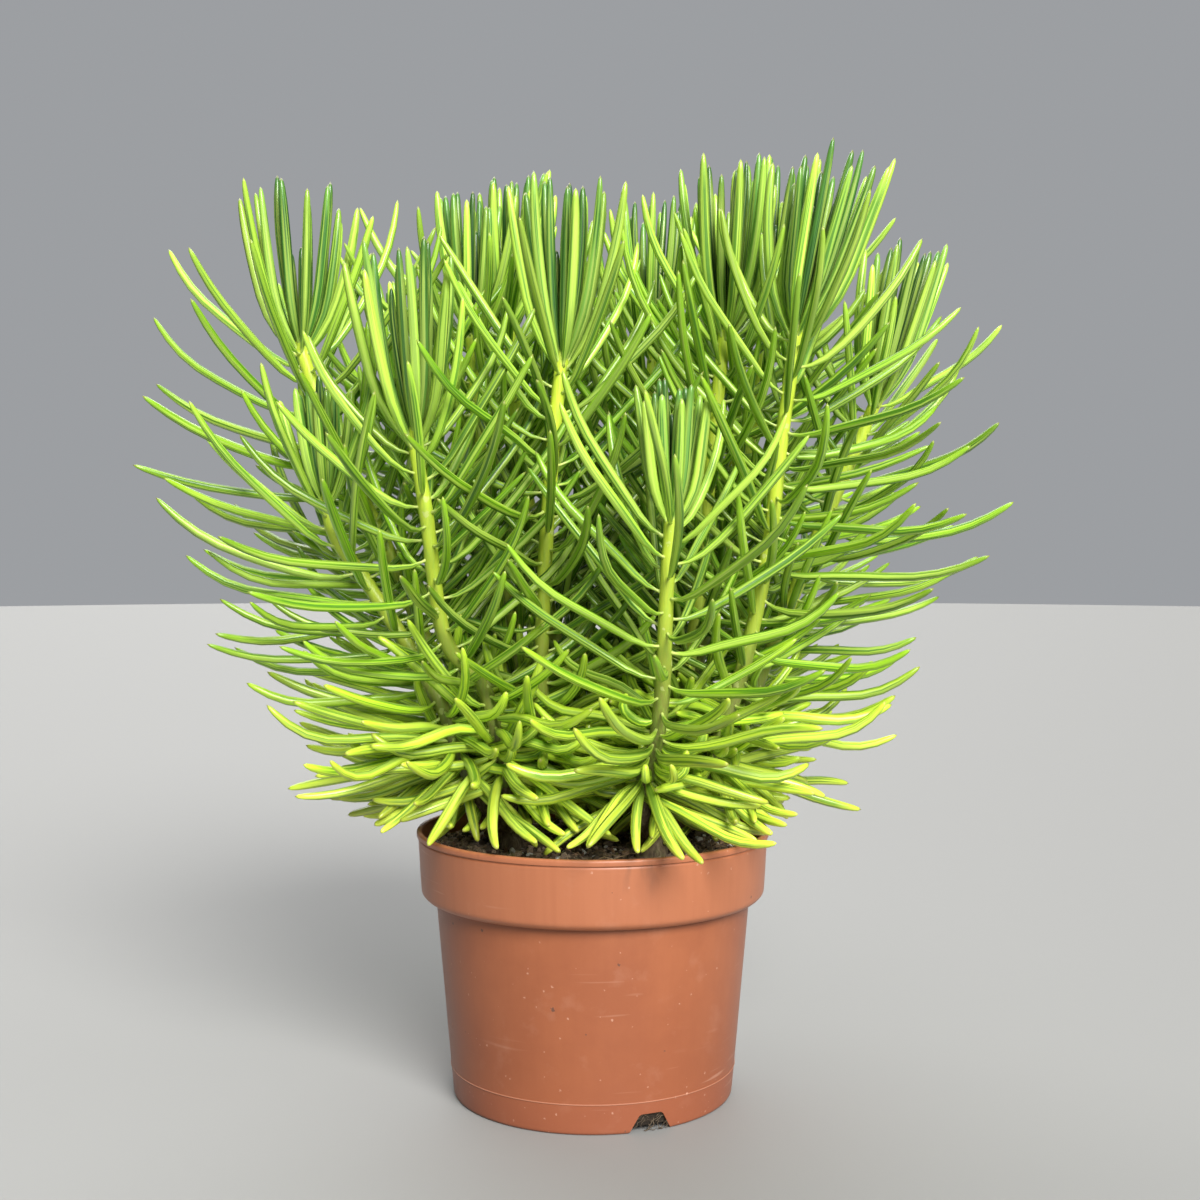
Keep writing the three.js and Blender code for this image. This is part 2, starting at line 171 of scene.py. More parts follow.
def startMaterial(name, settings):
    material = bpy.data.materials.new(name)
    material.use_nodes = True
    shader = material.node_tree.nodes["Principled BSDF"]
    feed(material.node_tree, shader, settings)
    return material, material.node_tree, shader


def addNode(tree, kind, inputs=None, **values):
    node = tree.nodes.new("ShaderNode" + kind)
    for name, value in values.items():
        setattr(node, name, value)
    feed(tree, node, inputs or {})
    return node


def addMath(tree, operation, a, b=0.0, clamp=False):
    return addNode(tree, "Math", {0: a, 1: b}, operation=operation, use_clamp=clamp).outputs[0]


def addMix(tree, factor, a, b, blend="MIX"):
    node = addNode(tree, "Mix", {0: factor, 6: a, 7: b}, data_type="RGBA", blend_type=blend)
    return node.outputs[2]


def addRange(tree, value, fromMin, fromMax, toMin=0.0, toMax=1.0):
    node = addNode(tree, "MapRange", {0: value, 1: fromMin, 2: fromMax, 3: toMin, 4: toMax})
    return node.outputs[0]


# Lays the named colours of a finish over one another, each with its amount.
def addLayers(tree, colour, finish, *layers, blend="MIX"):
    for amount, name in layers:
        colour = addMix(tree, amount, colour, (*finish[name], 1), blend)
    return colour


def scaled(tree, value, factor):
    return addMath(tree, "MULTIPLY", value, factor)


def stretched(tree, place, scale, rotation=(0, 0, 0)):
    return addNode(tree, "Mapping", {"Vector": place, "Rotation": rotation, "Scale": scale}).outputs[0]


def heightOf(tree, place):
    return addNode(tree, "SeparateXYZ", {0: place}).outputs[2]


def addNoise(tree, vector, scale, detail=3.0, roughness=0.5, distortion=0.0):
    node = addNode(tree, "TexNoise", {"Vector": vector, "Scale": scale, "Detail": detail,
                                      "Roughness": roughness, "Distortion": distortion})
    return node.outputs["Fac"]


def addRamp(tree, factor, stops):
    node = addNode(tree, "ValToRGB", {0: factor})
    elements = node.color_ramp.elements
    while len(elements) < len(stops):
        elements.new(0.5)
    for element, (place, colour) in zip(elements, stops):
        element.position = place
        element.color = (*colour, 1)
    return node.outputs[0]


def addBump(tree, shader, height, strength, distance):
    node = addNode(tree, "Bump", {"Strength": strength, "Distance": distance, "Height": height})
    tree.links.new(node.outputs[0], shader.inputs["Normal"])


def objectPlace(tree):
    return addNode(tree, "TexCoord").outputs["Object"]


# A group that makes a mask from a vector and some numbers.
def startGroup(name, vector, *numbers):
    group = bpy.data.node_groups.new(name, "ShaderNodeTree")
    group.interface.new_socket(vector, in_out="INPUT", socket_type="NodeSocketVector")
    for title in numbers:
        group.interface.new_socket(title, in_out="INPUT", socket_type="NodeSocketFloat")
    group.interface.new_socket("Mask", in_out="OUTPUT", socket_type="NodeSocketFloat")
    given = group.nodes.new("NodeGroupInput").outputs
    mask = group.nodes.new("NodeGroupOutput").inputs["Mask"]
    return group, mask, [given[title] for title in (vector, *numbers)]


def placeGroup(tree, group, inputs):
    return addNode(tree, "Group", inputs, node_tree=group).outputs[0]


effects = dict(
    streakEdge=(0.48, 0.54),  # where the noise turns into a line
    streakShift=61.0,  # how far apart two seeds lie in the noise
    speckEdge=(0.5, 1.5),  # how uneven the outline of a speck is
    speckSize=0.32,
    patchSoftness=0.2,
)


# Lengthwise streaks on anything round: the pattern map's u goes round and its v runs along.
def makeStreakGroup():
    names = ("Map", "Lines", "Stretch", "Seed")
    group, result, (pattern, lines, stretch, seed) = startGroup("lengthwiseStreaks", *names)
    across, along, _ = addNode(group, "SeparateXYZ", {0: pattern}).outputs
    turn = scaled(group, across, 2 * math.pi)
    radius = addMath(group, "DIVIDE", lines, 2 * math.pi)
    x = scaled(group, addMath(group, "COSINE", turn), radius)
    y = scaled(group, addMath(group, "SINE", turn), radius)
    shift = scaled(group, seed, effects["streakShift"])
    z = addMath(group, "ADD", scaled(group, along, stretch), shift)
    place = addNode(group, "CombineXYZ", {0: x, 1: y, 2: z}).outputs[0]
    group.links.new(addRange(group, addNoise(group, place, 1.0, 1.0), *effects["streakEdge"]), result)
    return group


# Small separate spots of dust, grit or scars, uneven in shape and size.
def makeSpeckGroup():
    group, result, (place, scale, amount) = startGroup("scatteredSpecks", "Place", "Scale", "Amount")
    cells = addNode(group, "TexVoronoi", {"Vector": place, "Scale": scale}).outputs
    chance, bigness, _ = addNode(group, "SeparateColor", {0: cells["Color"]}).outputs
    fine = addNoise(group, place, scaled(group, scale, 3.0), 2.0)
    edge = addRange(group, fine, 0.3, 0.7, *effects["speckEdge"])
    size = scaled(group, addMath(group, "POWER", bigness, 2.0), effects["speckSize"])
    inside = addMath(group, "LESS_THAN", cells["Distance"], scaled(group, size, edge))
    chosen = addMath(group, "LESS_THAN", chance, amount)
    group.links.new(scaled(group, inside, chosen), result)
    return group


# Cloudy patches between 0 and 1, with a chosen share of cover.
def makePatchGroup():
    group, result, (place, scale, cover) = startGroup("cloudyPatches", "Place", "Scale", "Cover")
    edge = addMath(group, "SUBTRACT", 0.75, scaled(group, cover, 0.5))
    far = addMath(group, "ADD", edge, effects["patchSoftness"])
    group.links.new(addRange(group, addNoise(group, place, scale, 5.0, 0.62), edge, far), result)
    return group


streakGroup = makeStreakGroup()
speckGroup = makeSpeckGroup()
patchGroup = makePatchGroup()


# The shoots, in millimetres: the same centre lines as the model that is loaded. base is the woody base that
# one grows from, lean the way its head points, turn the direction of its first leaf, tuft the length of its
# upright leaves, spread how far those open, and reach a factor for the length of its side leaves.
shoots = [
    dict(base="left", lean=(-1, 2), turn=20, tuft=80, spread=1.35, reach=1.12,
         line=[(-61, -1, 150), (-72, -2, 195), (-97, -2, 258), (-126, 0, 318), (-140, 0, 358)]),
    dict(base="left", lean=(-6, -4), turn=95, tuft=54, spread=1.0, reach=1.06,
         line=[(-56, -22, 150), (-74, -27, 196), (-106, -28, 248), (-119, -30, 267), (-124, -30, 286)]),
    dict(base="left", lean=(-4, -6), turn=150, tuft=86, spread=1.15,
         line=[(-40, -27, 152), (-50, -40, 199), (-67, -48, 222), (-74, -58, 277), (-79, -60, 311)]),
    dict(base="left", lean=(1, -3), turn=250, tuft=84, spread=1.0,
         line=[(-24, -12, 152), (-24, -24, 205), (-22, -30, 257), (-18, -37, 310), (-14, -40, 348)]),
    dict(base="left", lean=(0, 3), turn=310, tuft=68, spread=1.1,
         line=[(-28, 18, 152), (-42, 26, 230), (-56, 29, 310), (-61, 30, 371)]),
    dict(base="back", lean=(2, 4), turn=65, tuft=75, spread=1.05,
         line=[(-6, 40, 151), (-22, 43, 230), (-37, 45, 310), (-43, 46, 378)]),
    dict(base="right", lean=(1, -2), turn=190, tuft=83, spread=1.05,
         line=[(37, -4, 150), (46, -1, 205), (52, -3, 243), (56, -5, 299), (63, -5, 365)]),
    dict(base="right", lean=(17, -4), turn=285, tuft=84, spread=1.2,
         line=[(52, -21, 151), (70, -26, 205), (82, -31, 265), (86, -35, 305), (93, -40, 360)]),
    dict(base="right", lean=(0, -5), turn=35, tuft=58, spread=0.95,
         line=[(21, -47, 149), (28, -65, 175), (31, -78, 205), (32, -86, 241), (34, -90, 277)]),
    dict(base="right", lean=(20, 3), turn=120, tuft=78, spread=1.1, reach=0.9,
         line=[(60, 4, 149), (84, 8, 205), (107, 9, 262), (126, 10, 306), (138, 10, 334)]),
    dict(base="back", lean=(2, 5), turn=230, tuft=80, spread=1.05,
         line=[(16, 52, 152), (24, 60, 230), (29, 67, 300), (31, 70, 365)]),
    dict(base="back", lean=(9, 3), turn=345, tuft=80, spread=1.05,
         line=[(38, 36, 151), (58, 38, 225), (77, 40, 305), (87, 40, 377)]),
    dict(base="left", lean=(-12, 12), turn=5, tuft=74, spread=1.1,
         line=[(-47, 17, 150), (-66, 38, 205), (-83, 64, 270), (-90, 80, 330)]),
    dict(base="back", lean=(8, 10), turn=80, tuft=78, spread=1.1,
         line=[(35, 57, 150), (58, 78, 225), (74, 90, 305), (80, 95, 370)]),
    dict(base="back", lean=(-2, 12), turn=165, tuft=74, spread=1.1,
         line=[(-1, 62, 151), (-5, 86, 215), (-2, 104, 285), (0, 110, 350)]),
    dict(base="back", lean=(4, 14), turn=270, tuft=60, spread=1.1,
         line=[(21, 71, 148), (36, 98, 192), (44, 113, 236), (46, 120, 285)]),
]
for number, shoot in enumerate(shoots):
    shoot["number"] = number + 1
    shoot["path"] = smoothLine(shoot["line"], 61) * mm
    shoot["label"] = f"{shoot['number']:02d}"
    shoot["length"] = float(np.linalg.norm(np.diff(shoot["path"], axis=0), axis=1).sum())


# Pot

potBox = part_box("pot")
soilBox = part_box("soil")
pot = dict(
    lipRadius=potBox[1].x / mm,
    height=potBox[1].z / mm,
    steps=128,
    creaseAngle=38,  # degrees from which an edge is kept sharp
    notchCount=3,
    notchAngle=23,  # degrees to the right of the front
    notchTop=11,
    notchBottom=21,
    notchHeight=8.7,
    notchInner=58,  # where the cutter starts and ends, from the axis
    notchOuter=72,
    notchCorner=1.3,
)


# Radius and height in millimetres, up the outside from the middle of the foot and back down the inside.
def potProfile():
    top, lip = pot["height"], pot["lipRadius"]
    outside = [
        (0, 0), (62, 0), (65.8, 0), (66.4, 0.05), (67.2, 0.5), (67.5, 1.2), (67.6, 2.0),
        (68.7, 13.6), (68.72, 13.9), (69.0, 14.1), (69.02, 14.4), (68.8, 14.6), (68.8, 14.9),
        (70.3, 32), (71.9, 51), (73.6, 70), (75.55, 93.0), (75.6, 94.2),
        (75.75, 95.0), (76.2, 95.35), (77.0, 95.4), (78.6, 95.4), (79.6, 95.5), (80.4, 95.8),
        (81.1, 96.3), (81.9, 97.1), (82.4, 97.8), (82.65, 98.5), (82.8, 99.6),
        (83.3, 107), (83.7, 115), (lip - 0.85, top - 4.6), (lip - 0.85, top - 3.9),
        (lip - 1.1, top - 3.5), (lip - 1.05, top - 3.2), (lip - 0.6, top - 2.95), (lip - 0.1, top - 2.7),
        (lip, top - 2.3), (lip, top - 1.1), (lip - 0.1, top - 0.6), (lip - 0.4, top - 0.2), (lip - 0.9, top),
    ]
    inside = [
        (lip - 1.9, top), (lip - 2.5, top - 0.5), (lip - 2.6, top - 3),
        (82.0, 114), (81.3, 100), (80.6, 98.9), (78.6, 97.1), (77.6, 96.8), (75.0, 96.8),
        (74.1, 96), (73.4, 88), (70.2, 50), (67.2, 14), (66.3, 2.8), (65.2, 1.6), (0, 1.6),
    ]
    return outside + inside


def notchCutter(angle):
    bm = bmesh.new()
    bmesh.ops.create_cube(bm, size=1)
    for vert in bm.verts:
        width = pot["notchTop"] if vert.co.z > 0 else mix(pot["notchBottom"], pot["notchTop"], -0.1)
        away = pot["notchInner"] if vert.co.y > 0 else pot["notchOuter"]
        height = pot["notchHeight"] if vert.co.z > 0 else -1
        vert.co = Vector((math.copysign(width / 2, vert.co.x), -away, height)) * mm
    corners = [edge for edge in bm.edges
               if abs(edge.verts[0].co.y - edge.verts[1].co.y) > mm and edge.verts[0].co.z > 0]
    bmesh.ops.bevel(bm, geom=corners, offset=pot["notchCorner"] * mm, segments=3, profile=0.5,
                    affect="EDGES", material=-1)
    turn = Matrix.Rotation(math.radians(angle), 3, "Z")
    bmesh.ops.rotate(bm, verts=bm.verts, cent=(0, 0, 0), matrix=turn)
    bmesh.ops.recalc_face_normals(bm, faces=bm.faces)
    return link("notchCutter", meshFrom(bm, "notchCutter"))


def makePot(finish):
    bm = bmesh.new()
    spinProfile(bm, potProfile(), pot["steps"])
    shell = addObject("potShell", meshFrom(bm, "potShell"), "pot_plastic", finish, "pot")
    for index in range(pot["notchCount"]):
        cutter = notchCutter(pot["notchAngle"] + index * 360 / pot["notchCount"])
        cut = shell.modifiers.new("notch", "BOOLEAN")
        cut.object = cutter
        cut.operation = "DIFFERENCE"
        cut.solver = "EXACT"
        applyModifiers(shell)
        bpy.data.objects.remove(cutter)
    bm = bmesh.new()
    bm.from_mesh(shell.data)
    bmesh.ops.dissolve_degenerate(bm, edges=bm.edges, dist=1e-6)
    shadeSmooth(bm, math.radians(pot["creaseAngle"]))
    bm.to_mesh(shell.data)
    bm.free()
    return shell


# heights in metres
potFinish = dict(
    colour=(0.325, 0.103, 0.043),
    deep=(0.240, 0.069, 0.029),
    # painted sheen: the collar's colour is lighter and whiter than the wall's
    paintedBandSheen=(0.400, 0.142, 0.067),
    foot=(0.30, 0.085, 0.050),
    dust=(0.55, 0.30, 0.21),
    soilMark=(0.10, 0.05, 0.035),
    deepTop=0.085,  # the wall is darker towards the foot from here down
    bandBottom=(0.0952, 0.0960),
    gritHeight=0.092,
    partingLine=0.01435,
    footTop=(0.0139, 0.0142),
    roughness=0.40,
)


def makePotFinish():
    material, tree, shader = startMaterial("terracottaPlastic", {"Specular IOR Level": 0.45})
    place = objectPlace(tree)
    level = heightOf(tree, place)
    clouds = placeGroup(tree, patchGroup, {"Place": place, "Scale": 22.0, "Cover": 0.7})
    down = addRange(tree, level, 0.0, potFinish["deepTop"], 0.62, 0.0)
    # painted sheen: the collar above the step is painted lighter, as if it caught more light
    paintedBandSheen = addRange(tree, level, *potFinish["bandBottom"], 0.0, 0.75)
    # faint vertical flow lines from the mould
    flow = addNoise(tree, stretched(tree, place, (300, 300, 6)), 1.0, 2.0)
    flow = addRange(tree, flow, 0.45, 0.8, 0.0, 0.16)
    # dust that clings in patches, and separate specks of it, most of them near the foot
    haze = placeGroup(tree, patchGroup, {"Place": place, "Scale": 60.0, "Cover": 0.35})
    nearFoot = addRange(tree, level, 0.0, 0.030, 0.22, 0.05)
    specks = placeGroup(tree, speckGroup, {"Place": place, "Scale": 560.0, "Amount": nearFoot})
    # dark grit, most of it just under the collar
    fromCollar = addMath(tree, "ABSOLUTE", addMath(tree, "SUBTRACT", level, potFinish["gritHeight"]))
    underBand = addRange(tree, fromCollar, 0.0, 0.009, 0.14, 0.012)
    grit = placeGroup(tree, speckGroup, {"Place": place, "Scale": 340.0, "Amount": underBand})
    # the pale parting line and the duller foot under it
    line = addMath(tree, "ABSOLUTE", addMath(tree, "SUBTRACT", level, potFinish["partingLine"]))
    line = addRange(tree, line, 0.0001, 0.0003, 0.34, 0.0)
    foot = addRange(tree, level, *potFinish["footTop"], 0.16, 0.0)
    # long light scuffs
    scuffs = addNoise(tree, stretched(tree, place, (26, 26, 520), (0, 0.5, 0.3)), 1.0, 1.0)
    spots = addRange(tree, addNoise(tree, place, 24.0, 1.0), 0.56, 0.7)
    scuffs = scaled(tree, addRange(tree, scuffs, 0.66, 0.74), spots)
    # soil smeared under the lip
    smear = addNoise(tree, stretched(tree, place, (70, 70, 16)), 1.0, 4.0, 0.6)
    underLip = addRange(tree, level, (pot["height"] - 20) * mm, (pot["height"] - 2) * mm)
    smear = scaled(tree, addRange(tree, smear, 0.60, 0.72), underLip)
    colour = addLayers(
        tree, (*potFinish["colour"], 1), potFinish,
        (scaled(tree, clouds, 0.45), "deep"), (down, "deep"), (paintedBandSheen, "paintedBandSheen"), (flow, "deep"),
        (scaled(tree, haze, 0.14), "dust"), (scaled(tree, specks, 0.55), "dust"),
        (scaled(tree, grit, 0.85), "soilMark"), (line, "dust"), (foot, "foot"),
        (scaled(tree, scuffs, 0.34), "dust"), (scaled(tree, smear, 0.5), "soilMark"))
    rough = addMath(tree, "ADD", potFinish["roughness"], scaled(tree, haze, 0.16))
    rough = addMath(tree, "ADD", rough, scaled(tree, specks, 0.3))
    feed(tree, shader, {"Base Color": colour, "Roughness": rough})
    grain = scaled(tree, addNoise(tree, place, 900.0, 2.0), 0.3)
    height = addMath(tree, "ADD", grain, addMath(tree, "ADD", specks, scaled(tree, clouds, 0.5)))
    addBump(tree, shader, height, 0.10, 0.0004)
    return material


# Soil

soil = dict(
    edge=soilBox[1].z / mm - 2.4,  # height of the surface by the wall
    middle=soilBox[1].z / mm,
    radius=81.6,
    lumps=2.2,  # how far the surface rises and falls
    rings=34,
    steps=150,
    crumbs=1900, bark=120, perlite=120,
    grainReach=79,  # how far out grains lie
    fibres=320, fibreStart=78, fibreReach=80, fibreSteps=7,
    seed=11,
)


def soilHeight(x, y):
    fromAxis = math.hypot(x, y)
    height = mix(soil["middle"], soil["edge"], ease(fromAxis, 0, 82 * mm)) * mm
    place = Vector((x, y, 0))
    height += noise.fractal(place * 60, 0.9, 2.1, 3) * soil["lumps"] * 0.55 * mm
    height += noise.fractal(place * 230, 0.8, 2.1, 3) * soil["lumps"] * 0.35 * mm
    return height


def makeSoil(finish):
    edge = soil["radius"]
    # radius and height, up the inside of the pot from the middle of its floor
    body = [(0, 1.9), (30, 1.9), (58, 1.9), (64.6, 2.1), (65.9, 3.1), (66.8, 14), (69.8, 50),
            (73.0, 88), (73.8, 97), (77.8, 97.2), (80.2, 99.4), (81.0, 101), (edge, soil["edge"] - 2)]
    rings = [(edge * (1 - (i + 0.5) / soil["rings"]) + 0.5, soil["edge"]) for i in range(soil["rings"])]
    bm = bmesh.new()
    spinProfile(bm, [*body, *rings, (0, soil["middle"])], soil["steps"])
    limit = (soil["edge"] - 1) * mm
    for vert in bm.verts:
        if vert.co.z > limit:
            vert.co.z = soilHeight(vert.co.x, vert.co.y)
        elif vert.co.z < 100 * mm:
            vert.co += noise.noise_vector(vert.co * 300) * 0.12 * mm
    return addObject("soilBed", meshFrom(bm, "soilBed"), "potting_soil", finish, "soil")


def scatterGrains(name, finish, count, sizes, stretch, sink, seed, detail=1):
    rng = random.Random(seed)
    bm = bmesh.new()
    tint = bm.verts.layers.float_color.new("grainTint")
    for index in range(count):
        away = math.sqrt(rng.random()) * soil["grainReach"] * mm
        angle = rng.random() * 2 * math.pi
        x, y = away * math.cos(angle), away * math.sin(angle)
        size = mix(sizes[0], sizes[1], rng.random() ** 2.2) * mm  # most of them are small
        spin = rng.uniform(0, 6.3)
        axis = (rng.random(), rng.random(), rng.random() + 0.1)
        turn = Matrix.Rotation(spin, 4, axis)
        long = mix(1, stretch, rng.random())
        form = turn @ Matrix.Diagonal((long, 1, mix(0.55, 1, rng.random()), 1))
        place = Matrix.Translation((x, y, soilHeight(x, y) + size * sink * rng.uniform(-0.6, 0.9)))
        centre = place.translation
        made = bmesh.ops.create_icosphere(bm, subdivisions=detail, radius=size / 2, matrix=place @ form)
        tone = rng.random()
        for vert in made["verts"]:
            push = noise.noise(vert.co * 900 + Vector((index, 0, 0)))
            vert.co = centre + (vert.co - centre) * (1 + 0.5 * push)
            vert[tint] = (tone, rng.random(), 0, 1)
    return addObject(name, meshFrom(bm, name, math.radians(35)), "potting_soil", finish)


def scatterFibres(name, finish, count, seed):
    rng = random.Random(seed)
    bm = bmesh.new()
    steps = soil["fibreSteps"]
    for _ in range(count):
        away = math.sqrt(rng.random()) * soil["fibreStart"] * mm
        angle = rng.random() * 2 * math.pi
        x, y = away * math.cos(angle), away * math.sin(angle)
        heading = rng.uniform(0, 2 * math.pi)
        length = rng.uniform(6, 22) * mm
        lift = rng.uniform(0.2, 3.4) * mm
        curl = rng.uniform(-1.6, 1.6)
        points = []
        for i in range(steps + 1):
            rise = math.sin(math.pi * (i / steps)) * lift - 0.5 * mm
            points.append((x, y, soilHeight(x, y) + rise))
            heading += curl / steps + rng.uniform(-0.3, 0.3)
            x += math.cos(heading) * length / steps
            y += math.sin(heading) * length / steps
            if math.hypot(x, y) > soil["fibreReach"] * mm:
                break
        if len(points) > 2:
            radius = rng.uniform(0.12, 0.3) * mm
            addTube(bm, points, [radius] * len(points), 4)
    return addObject(name, meshFrom(bm, name), "potting_soil", finish)


notchRoots = dict(count=18, away=(65.6, 67.4), aside=8.5, bottom=0.6, top=7.8, steps=6)


# Thin roots that show in the drain notches.
def fillNotches(name, finish, seed):
    roots = notchRoots
    rng = random.Random(seed)
    bm = bmesh.new()
    for index in range(pot["notchCount"]):
        facing = math.radians(pot["notchAngle"] + index * 360 / pot["notchCount"] - 90)
        turn = Matrix.Rotation(facing, 3, "Z")
        for _ in range(roots["count"]):
            along, height = rng.uniform(-8, 8), rng.uniform(0.8, 7.6)
            heading = rng.uniform(0, 2 * math.pi)
            points = []
            for _ in range(roots["steps"]):
                points.append(Vector((rng.uniform(*roots["away"]), along, height)) * mm)
                heading += rng.uniform(-0.9, 0.9)
                along = min(max(along + math.cos(heading) * 1.6, -roots["aside"]), roots["aside"])
                height = min(max(height + math.sin(heading) * 1.3, roots["bottom"]), roots["top"])
            radius = rng.uniform(0.08, 0.24) * mm
            addTube(bm, [turn @ point for point in points], [radius] * len(points), 4)
    return addObject(name, meshFrom(bm, name), "potting_soil", finish)


soilFinish = dict(
    tones=[(0.30, (0.024, 0.018, 0.013)), (0.46, (0.105, 0.078, 0.055)),
           (0.58, (0.250, 0.185, 0.128)), (0.75, (0.500, 0.390, 0.270))],
    thread=(0.20, 0.14, 0.08),
    damp=(0.012, 0.009, 0.007),
    dampTop=0.020,  # metres up
)


def makeSoilFinish():
    material, tree, shader = startMaterial("pottingSoil", {"Roughness": 0.95, "Specular IOR Level": 0.25})
    place = objectPlace(tree)
    coarse = addNoise(tree, place, 140.0, 5.0, 0.7)
    fine = addNoise(tree, place, 700.0, 4.0, 0.7)
    both = addMath(tree, "ADD", scaled(tree, coarse, 0.5), scaled(tree, fine, 0.5))
    colour = addRamp(tree, both, soilFinish["tones"])
    threads = stretched(tree, place, (110, 900, 500), (0.3, 0.2, 0.7))
    strand = addRange(tree, addNoise(tree, threads, 1.0, 2.0, 0.5, 0.8), 0.66, 0.74)
    # damp and dark by the drain notches
    damp = addRange(tree, heightOf(tree, place), 0.010, soilFinish["dampTop"], 0.85, 0.0)
    colour = addLayers(tree, colour, soilFinish, (scaled(tree, strand, 0.5), "thread"), (damp, "damp"))
    feed(tree, shader, {"Base Color": colour})
    addBump(tree, shader, both, 0.9, 0.0012)
    return material


def makeGrainFinish(name, dark, light, roughness, bump):
    material, tree, shader = startMaterial(name, {"Roughness": roughness, "Specular IOR Level": 0.3})
    tint = addNode(tree, "Attribute", attribute_name="grainTint").outputs["Color"]
    tone = addNode(tree, "SeparateColor", {0: tint}).outputs[0]
    fine = addNoise(tree, objectPlace(tree), 1400.0, 3.0, 0.6)
    amount = addMath(tree, "MULTIPLY", tone, addRange(tree, fine, 0.3, 0.7, 0.5, 1.2), clamp=True)
    tree.links.new(addMix(tree, amount, (*dark, 1), (*light, 1)), shader.inputs["Base Color"])
    addBump(tree, shader, fine, bump, 0.0004)
    return material


# Woody bases and stems

woody = dict(
    left=dict(foot=(-41, -6), fork=(-42, -5, 131), radius=7.5),
    right=dict(foot=(27, -31), fork=(30, -28, 130), radius=7.5),
    back=dict(foot=(14, 44), fork=(14, 45, 131), radius=7.0),
)
wood = dict(
    rootHeight=96,  # where the trunk starts, inside the soil
    groundHeight=121,
    limbSteps=8, limbSides=14, trunkSides=20,
    voxel=0.85, softening=4,
    bark=0.42, knots=0.45,  # how deep they are
)
stem = dict(
    topRadius=3.1, bottomRadius=3.8, sides=12, rings=44,
    leanOver=85,  # the height over which a shoot's lean is given
    budHeight=9, budShares=(0.35, 0.7, 1.0), budRadii=(2.6, 1.7, 0.7),
)


def limbLine(base, shoot):
    start = Vector(base["fork"]) - Vector((0, 0, 6))
    end = Vector(shoot["line"][0])
    along = (Vector(shoot["line"][1]) - end).normalized()
    bend = end - along * 0.35 * (end - start).length
    bend = bend.lerp(Vector((start.x, start.y, bend.z)), 0.25)
    points = []
    for i in range(wood["limbSteps"] + 1):
        t = i / wood["limbSteps"]
        points.append(((1 - t) ** 2 * start + 2 * t * (1 - t) * bend + t * t * end) * mm)
    return points


def makeWoodyBase(key, finish):
    base = woody[key]
    bm = bmesh.new()
    foot = Vector((*base["foot"], wood["rootHeight"])) * mm
    ground = Vector((*base["foot"], wood["groundHeight"])) * mm
    fork = Vector(base["fork"]) * mm
    r = base["radius"] * mm
    addTube(bm, [foot, foot.lerp(ground, 0.5), ground, ground.lerp(fork, 0.5), fork],
            [r * share for share in (0.9, 1.0, 1.12, 0.92, 0.7)], wood["trunkSides"])
    for shoot in shoots:
        if shoot["base"] == key:
            line = limbLine(base, shoot)
            line.append(line[-1] + (line[-1] - line[-2]).normalized() * mm)
            r = stem["bottomRadius"] * mm
            radii = [r * mix(1.5, 1.06, min(i / 6, 1)) for i in range(len(line))]
            addTube(bm, line, radii, wood["limbSides"])
    bmesh.ops.recalc_face_normals(bm, faces=bm.faces)
    name = "woodyBase" + key.capitalize()
    piece = addObject(name, meshFrom(bm, name), "woody_stem", finish, "woody_base_" + key)
    melt = piece.modifiers.new("melt", "REMESH")
    melt.mode = "VOXEL"
    melt.voxel_size = wood["voxel"] * mm
    melt.use_smooth_shade = True
    soften = piece.modifiers.new("soften", "SMOOTH")
    soften.iterations = wood["softening"]
    applyModifiers(piece)
    places = [(vert.co.copy(), vert.normal.copy()) for vert in piece.data.vertices]
    for vert, (place, normal) in zip(piece.data.vertices, places):
        bark = noise.fractal(Vector((place.x * 420, place.y * 420, place.z * 130)), 0.8, 2.2, 3)
        knot = noise.noise(place * 170)
        vert.co = place + normal * (bark * wood["bark"] + knot * wood["knots"]) * mm
    return piece


def makeStem(shoot, finish):
    path = smoothLine(shoot["line"], stem["rings"]) * mm
    tip = Vector(path[-1])
    lean = Vector((*shoot["lean"], stem["leanOver"])).normalized()
    bud = [tip + lean * stem["budHeight"] * mm * share for share in stem["budShares"]]
    radii = []
    for i in range(len(path)):
        radius = mix(stem["bottomRadius"], stem["topRadius"], i / len(path)) * mm
        uneven = noise.noise(Vector((shoot["number"] * 3.1, i * 0.5, 0)))
        radii.append(radius * (1 + 0.05 * uneven))
    radii += [radius * mm for radius in stem["budRadii"]]
    bm = bmesh.new()
    addTube(bm, [*path, *bud], radii, stem["sides"])
    bmesh.ops.recalc_face_normals(bm, faces=bm.faces)
    for vert in bm.verts:
        vert.co += noise.noise_vector(vert.co * 130) * 0.22 * mm
    name = "stem" + shoot["label"]
    return addObject(name, meshFrom(bm, name), "side_leaves", finish, "shoot_" + shoot["label"])


stemFinish = dict(
    ages=[(0.0, (0.120, 0.100, 0.048)), (0.20, (0.200, 0.215, 0.048)),
          (0.50, (0.400, 0.500, 0.036)), (1.0, (0.580, 0.720, 0.050))],
    brownBelow=0.150,  # metres up
    greenAbove=0.330,
    streak=(0.260, 0.430, 0.045),
    scar=(0.560, 0.620, 0.220),
)


